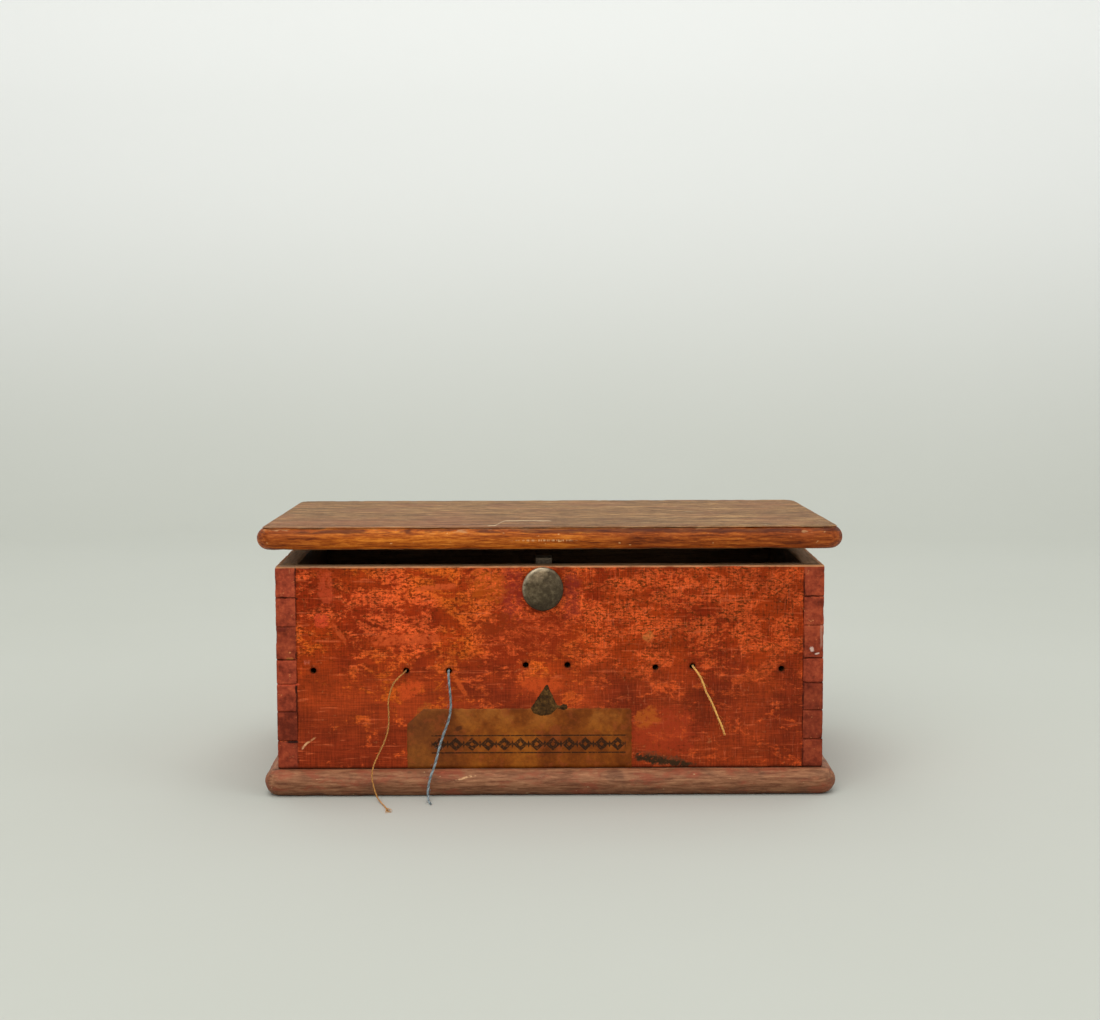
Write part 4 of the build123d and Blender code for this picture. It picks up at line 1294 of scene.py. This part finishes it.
def make_button():
    """The button's domed cap, with hammer dents and an uneven rim."""
    around, rings = 120, 34
    half_x = (BUTTON_HIGH.x - BUTTON_LOW.x) / 2
    half_z = (BUTTON_HIGH.z - BUTTON_LOW.z) / 2
    front, back = BUTTON_LOW.y, BUTTON_HIGH.y
    rim_depth, dome_reach, stem_reach = 0.0010, 0.96, 0.28
    dome_depth = back - rim_depth - front
    profile = [(share, front + dome_depth * share**2.2) for share in np.linspace(0.03, dome_reach, rings)]
    for turn in np.radians(np.linspace(30, 180, 9)):
        reach = dome_reach + (1 - dome_reach) * math.sin(turn)
        profile.append((reach, back - rim_depth / 2 * (1 + math.cos(turn))))
    profile += [(0.7, back), (stem_reach, back)]
    turns = np.arange(around) * math.tau / around
    points = [
        (BUTTON.x + half_x * reach * math.cos(turn), y, BUTTON.z + half_z * reach * math.sin(turn))
        for reach, y in profile
        for turn in turns
    ]
    faces = [face[::-1] for face in ring_faces(len(profile), around)]
    cap = add_mesh("hammered_button", points, faces)
    points = get_points(cap.data)
    normals = get_normals(cap.data)
    dents = np.clip(rough(points, 0.0042, 41, 2) + 0.1, 0, 1)
    pits = np.clip(rough(points, 0.0009, 42, 2) - 0.25, 0, 1)
    depth = 0.00035 * dents + 0.00012 * pits
    depth[points[:, 1] > back - 0.0002] = 0
    reach = np.hypot((points[:, 0] - BUTTON.x) / half_x, (points[:, 2] - BUTTON.z) / half_z)
    depth *= 1 - 0.75 * np.clip((reach - 0.84) / 0.12, 0, 1)
    set_points(cap.data, points - normals * depth[:, None])
    fit_out(cap, "button", "dark_iron", "button_cap")


def make_catch():
    """The spring strip in one piece, from its foot on the board up to the hook, bending where it flexes."""
    foot_low, foot_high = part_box("catch_foot")
    arm_low, arm_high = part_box("catch_arm")
    board_y = foot_low.y
    strip = (foot_high.y - foot_low.y) / 2
    hook_y = arm_low.y
    flex = foot_high.z
    top = arm_high.z
    outline = [(board_y + strip, flex + 0.0014), (board_y + strip, top - 0.00215), (hook_y, top - 0.00215)]
    outline += [(hook_y, top - 0.0011), (board_y + strip - 0.0004, top), (board_y + 2 * strip - 0.0003, top)]
    outline += [(board_y + 2 * strip, top - 0.0003)]
    outline += [(board_y + 2 * strip, flex + 0.001 + 0.003 * share) for share in (0.6, 0.3, 0)]
    outline += [(board_y + 1.7 * strip, flex - 0.0006), (board_y + 1.15 * strip, flex - 0.0018)]
    outline += [(board_y + strip, flex - 0.0026), (board_y + strip, foot_low.z), (board_y, foot_low.z)]
    outline += [(board_y, flex - 0.0012), (board_y + 0.35 * strip, flex - 0.0002)]
    outline += [(board_y + 0.8 * strip, flex + 0.0006)]
    shape = bmesh.new()
    ring = [shape.verts.new((arm_low.x, y, z)) for y, z in outline]
    face = shape.faces.new(ring)
    grown = bmesh.ops.extrude_face_region(shape, geom=[face])
    moved = [item for item in grown["geom"] if isinstance(item, bmesh.types.BMVert)]
    bmesh.ops.translate(shape, verts=moved, vec=(arm_high.x - arm_low.x, 0, 0))
    bmesh.ops.recalc_face_normals(shape, faces=shape.faces)
    sides = [e for e in shape.edges if abs(e.verts[0].co.x - e.verts[1].co.x) < 1e-6]
    bmesh.ops.bevel(shape, geom=sides, offset=0.00012, segments=2, profile=0.5, affect="EDGES")
    mesh = bpy.data.meshes.new("catch_strip")
    shape.to_mesh(mesh)
    shape.free()
    strip_piece = add_object("catch_strip", mesh)
    mesh.materials.append(MATERIALS["spring_steel"])
    mesh.shade_smooth()
    mesh.set_sharp_from_angle(angle=CREASE)
    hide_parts("catch_foot", "catch_arm")
    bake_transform(strip_piece)


# --- Label and remnant -------------------------------------------------------------------------


def ragged_outline(corners, step, jitter, seed):
    """A closed outline through the corners, with points every step that stray by up to jitter."""
    chance = random.Random(seed)
    points = []
    for start, end in zip(corners, corners[1:] + corners[:1]):
        start, end = Vector(start), Vector(end)
        count = max(1, int((end - start).length / step))
        for i in range(count):
            point = start.lerp(end, i / count)
            stray = jitter if i else jitter * 0.4
            points.append(point + Vector((chance.uniform(-stray, stray), chance.uniform(-stray, stray))))
    return points


def make_flake(name, outlines, spacing, thickness, relief, seed):
    """A thin piece glued on the front over (X, Z) outlines, its skin wrinkled by up to relief."""
    parts = []
    for outline in outlines:
        low = Vector((min(p.x for p in outline), min(p.y for p in outline)))
        high = Vector((max(p.x for p in outline), max(p.y for p in outline)))
        inside = [
            Vector((x, z)) + Vector(noise.noise_vector(Vector((x, z, seed)) * 900)).xy * spacing * 0.3
            for x in np.arange(low.x + spacing, high.x, spacing)
            for z in np.arange(low.y + spacing, high.y, spacing)
        ]
        count = len(outline)
        rim = [(i, (i + 1) % count) for i in range(count)]
        flat, _, triangles, *_ = delaunay_2d_cdt(
            list(outline) + inside, rim, [list(range(count))], 1, 1e-7
        )
        border = {}
        for triangle in triangles:
            for a, b in zip(triangle, list(triangle[1:]) + [triangle[0]]):
                border[(a, b)] = border.get((a, b), 0) + 1
        loose = [pair for pair in border if (pair[1], pair[0]) not in border]
        on_rim = {i for pair in loose for i in pair}
        points = []
        for i, place in enumerate(flat):
            swell = 0.5 + 0.5 * noise.fractal(Vector((place.x, place.y, seed)) / 0.006, 0.8, 2.0, 3)
            lift = thickness * 0.35 if i in on_rim else thickness * 0.45 + relief * swell
            points.append((place.x, FRONT_Y - lift, place.y))
        back = [(place.x, FRONT_Y + 0.0002, place.y) for place in flat]
        total = len(flat)
        faces = [tuple(triangle) for triangle in triangles]
        faces += [tuple(i + total for i in reversed(triangle)) for triangle in triangles]
        faces += [(b, a, a + total, b + total) for a, b in loose]
        parts.append((np.array(points + back), faces))
    flake = add_mesh(name, *gather(parts))
    shape = bmesh.new()
    shape.from_mesh(flake.data)
    bmesh.ops.recalc_face_normals(shape, faces=shape.faces)
    shape.to_mesh(flake.data)
    shape.free()
    return flake


def make_label():
    """The paper label, ragged at its edges, with one corner torn off."""
    low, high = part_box("paper_label")
    corners = [
        (low.x, low.z), (high.x, low.z), (high.x, high.z - 0.0012), (high.x - 0.0009, high.z),
        (low.x + 0.0083, high.z), (low.x, high.z - 0.0075),
    ]
    outline = ragged_outline(corners, 0.0013, 0.00022, 51)
    label = make_flake("torn_label", [outline], 0.0018, 0.00016, 0.00010, 52)
    fit_out(label, "root", "label_paper", "paper_label")


def make_remnant():
    """The dark scrap above the label: a worn triangle with a rounded foot, and a blob beside it."""
    corners = [(-0.0095, 0.0426), (-0.0084, 0.0402), (-0.0054, 0.0390), (-0.0026, 0.0387)]
    corners += [(0.0008, 0.0398), (0.0033, 0.0425), (0.0050, 0.0422), (0.0066, 0.0414), (0.0083, 0.0424)]
    corners += [(0.0082, 0.0443), (0.0062, 0.0446), (0.0048, 0.0436), (0.0033, 0.0440)]
    corners += [(0.0008, 0.0494), (-0.0012, 0.0540), (-0.0019, 0.0541), (-0.0052, 0.0490)]
    outline = ragged_outline(corners, 0.0007, 0.00016, 61)
    scrap = make_flake("dark_scrap", [outline], 0.0008, 0.0003, 0.00022, 62)
    fit_out(scrap, "root", "patch", "triangle_patch")


# --- Windings ----------------------------------------------------------------------------------

WINDING_SLOTS = (
    "red_thread",
    "tan_thread",
    "blue_thread",
    "white_thread",
    "green_thread",
    "black_thread",
    "yellow_thread",
    "brown_thread",
)


def make_winding(number, slot):
    """Thread wound on one bobbin: turns that lie side by side, crowned in the middle."""
    low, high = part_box(f"thread_winding_{number}")
    centre_y, centre_z = (low.y + high.y) / 2, (low.z + high.z) / 2
    full = (high.z - low.z) / 2
    pitch, ridge, crown, core, lump_height = 0.00105, 0.00032, 0.0008, 0.0083, 0.00016
    around = 88
    steps = int((high.x - low.x) / pitch * 8)
    turns = np.arange(around) * math.tau / around
    rings, tones = [], []
    for i in range(steps + 1):
        share = i / steps * 2 - 1
        x = low.x + (high.x - low.x) * i / steps
        base = full - crown * share**4
        sway = 1.1 * noise.noise(Vector((x * 300, number * 3.7, 0.5)))
        phase = math.pi * (x / pitch) - turns / 2 + sway
        valley = 1 - np.abs(np.sin(phase))
        places = [(x * 700, 3 * math.cos(turn), 3 * math.sin(turn) + number * 9) for turn in turns]
        lumps = np.array([noise.noise(Vector(place)) for place in places])
        radius = base - ridge * valley - lump_height * (lumps * 0.5 + 0.5)
        ring_y, ring_z = centre_y + radius * np.cos(turns), centre_z + radius * np.sin(turns)
        rings.append(np.column_stack([np.full(around, x), ring_y, ring_z]))
        # Painted shade: darker in the grooves between turns and a little lighter on their crests; the lumps
        # add uneven tone
        tones.append(0.10 - 0.42 * valley**2 + 0.14 * lumps)
    # Painted shade on both end faces of the winding, where it meets the flanges
    for x, place in ((low.x, 0), (high.x, len(rings) + 1)):
        ring_y, ring_z = centre_y + core * np.cos(turns), centre_z + core * np.sin(turns)
        rings.insert(place, np.column_stack([np.full(around, x), ring_y, ring_z]))
        tones.insert(place, np.full(around, -0.3))
    faces = ring_faces(len(rings), around, closed=True)
    winding = add_mesh(f"wound_thread_{number}", np.concatenate(rings), faces)
    set_shade_tones(winding, tones)
    winding.data.set_sharp_from_angle(angle=math.radians(60))
    fit_out(winding, f"spool_{number}", slot, f"thread_winding_{number}")


# --- Pieces that keep their CAD shape ----------------------------------------------------------

KEPT_FINISHES = {
    "inner_wood": ("divider_left", "divider_middle", "divider_right", "rod_cleat_left", "rod_cleat_right"),
    "bobbin_wood": ("bobbin_rod", *[f"bobbin_{number}" for number in range(1, 9)]),
    "dark_iron": ("button_stem", "button_collar", "base_nails"),
    "screw_steel": (
        "cleat_screws", "catch_screws", "strike_screws", "hinge_lower_screws", "hinge_upper_screws",
        "strike_plate",
    ),
    "brass": (
        "hinge_left_lower_leaf", "hinge_left_upper_leaf", "hinge_left_pin",
        "hinge_right_lower_leaf", "hinge_right_upper_leaf", "hinge_right_pin",
    ),
}


def finish_kept_nodes():
    """Materials for the CAD nodes that are shown as they are."""
    for slot, names in KEPT_FINISHES.items():
        for name in names:
            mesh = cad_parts[name].data
            mesh.materials.clear()
            mesh.materials.append(MATERIALS[slot])


for thread, slot in zip(make_threads(), ("tan_thread", "blue_thread", "yellow_thread")):
    fit_out(thread, "root", slot, "thread_" + slot.split("_")[0])
make_walls()
make_lid()
make_base()
make_button()
make_catch()
make_label()
make_remnant()
for index, winding_slot in enumerate(WINDING_SLOTS):
    make_winding(index + 1, winding_slot)
finish_kept_nodes()
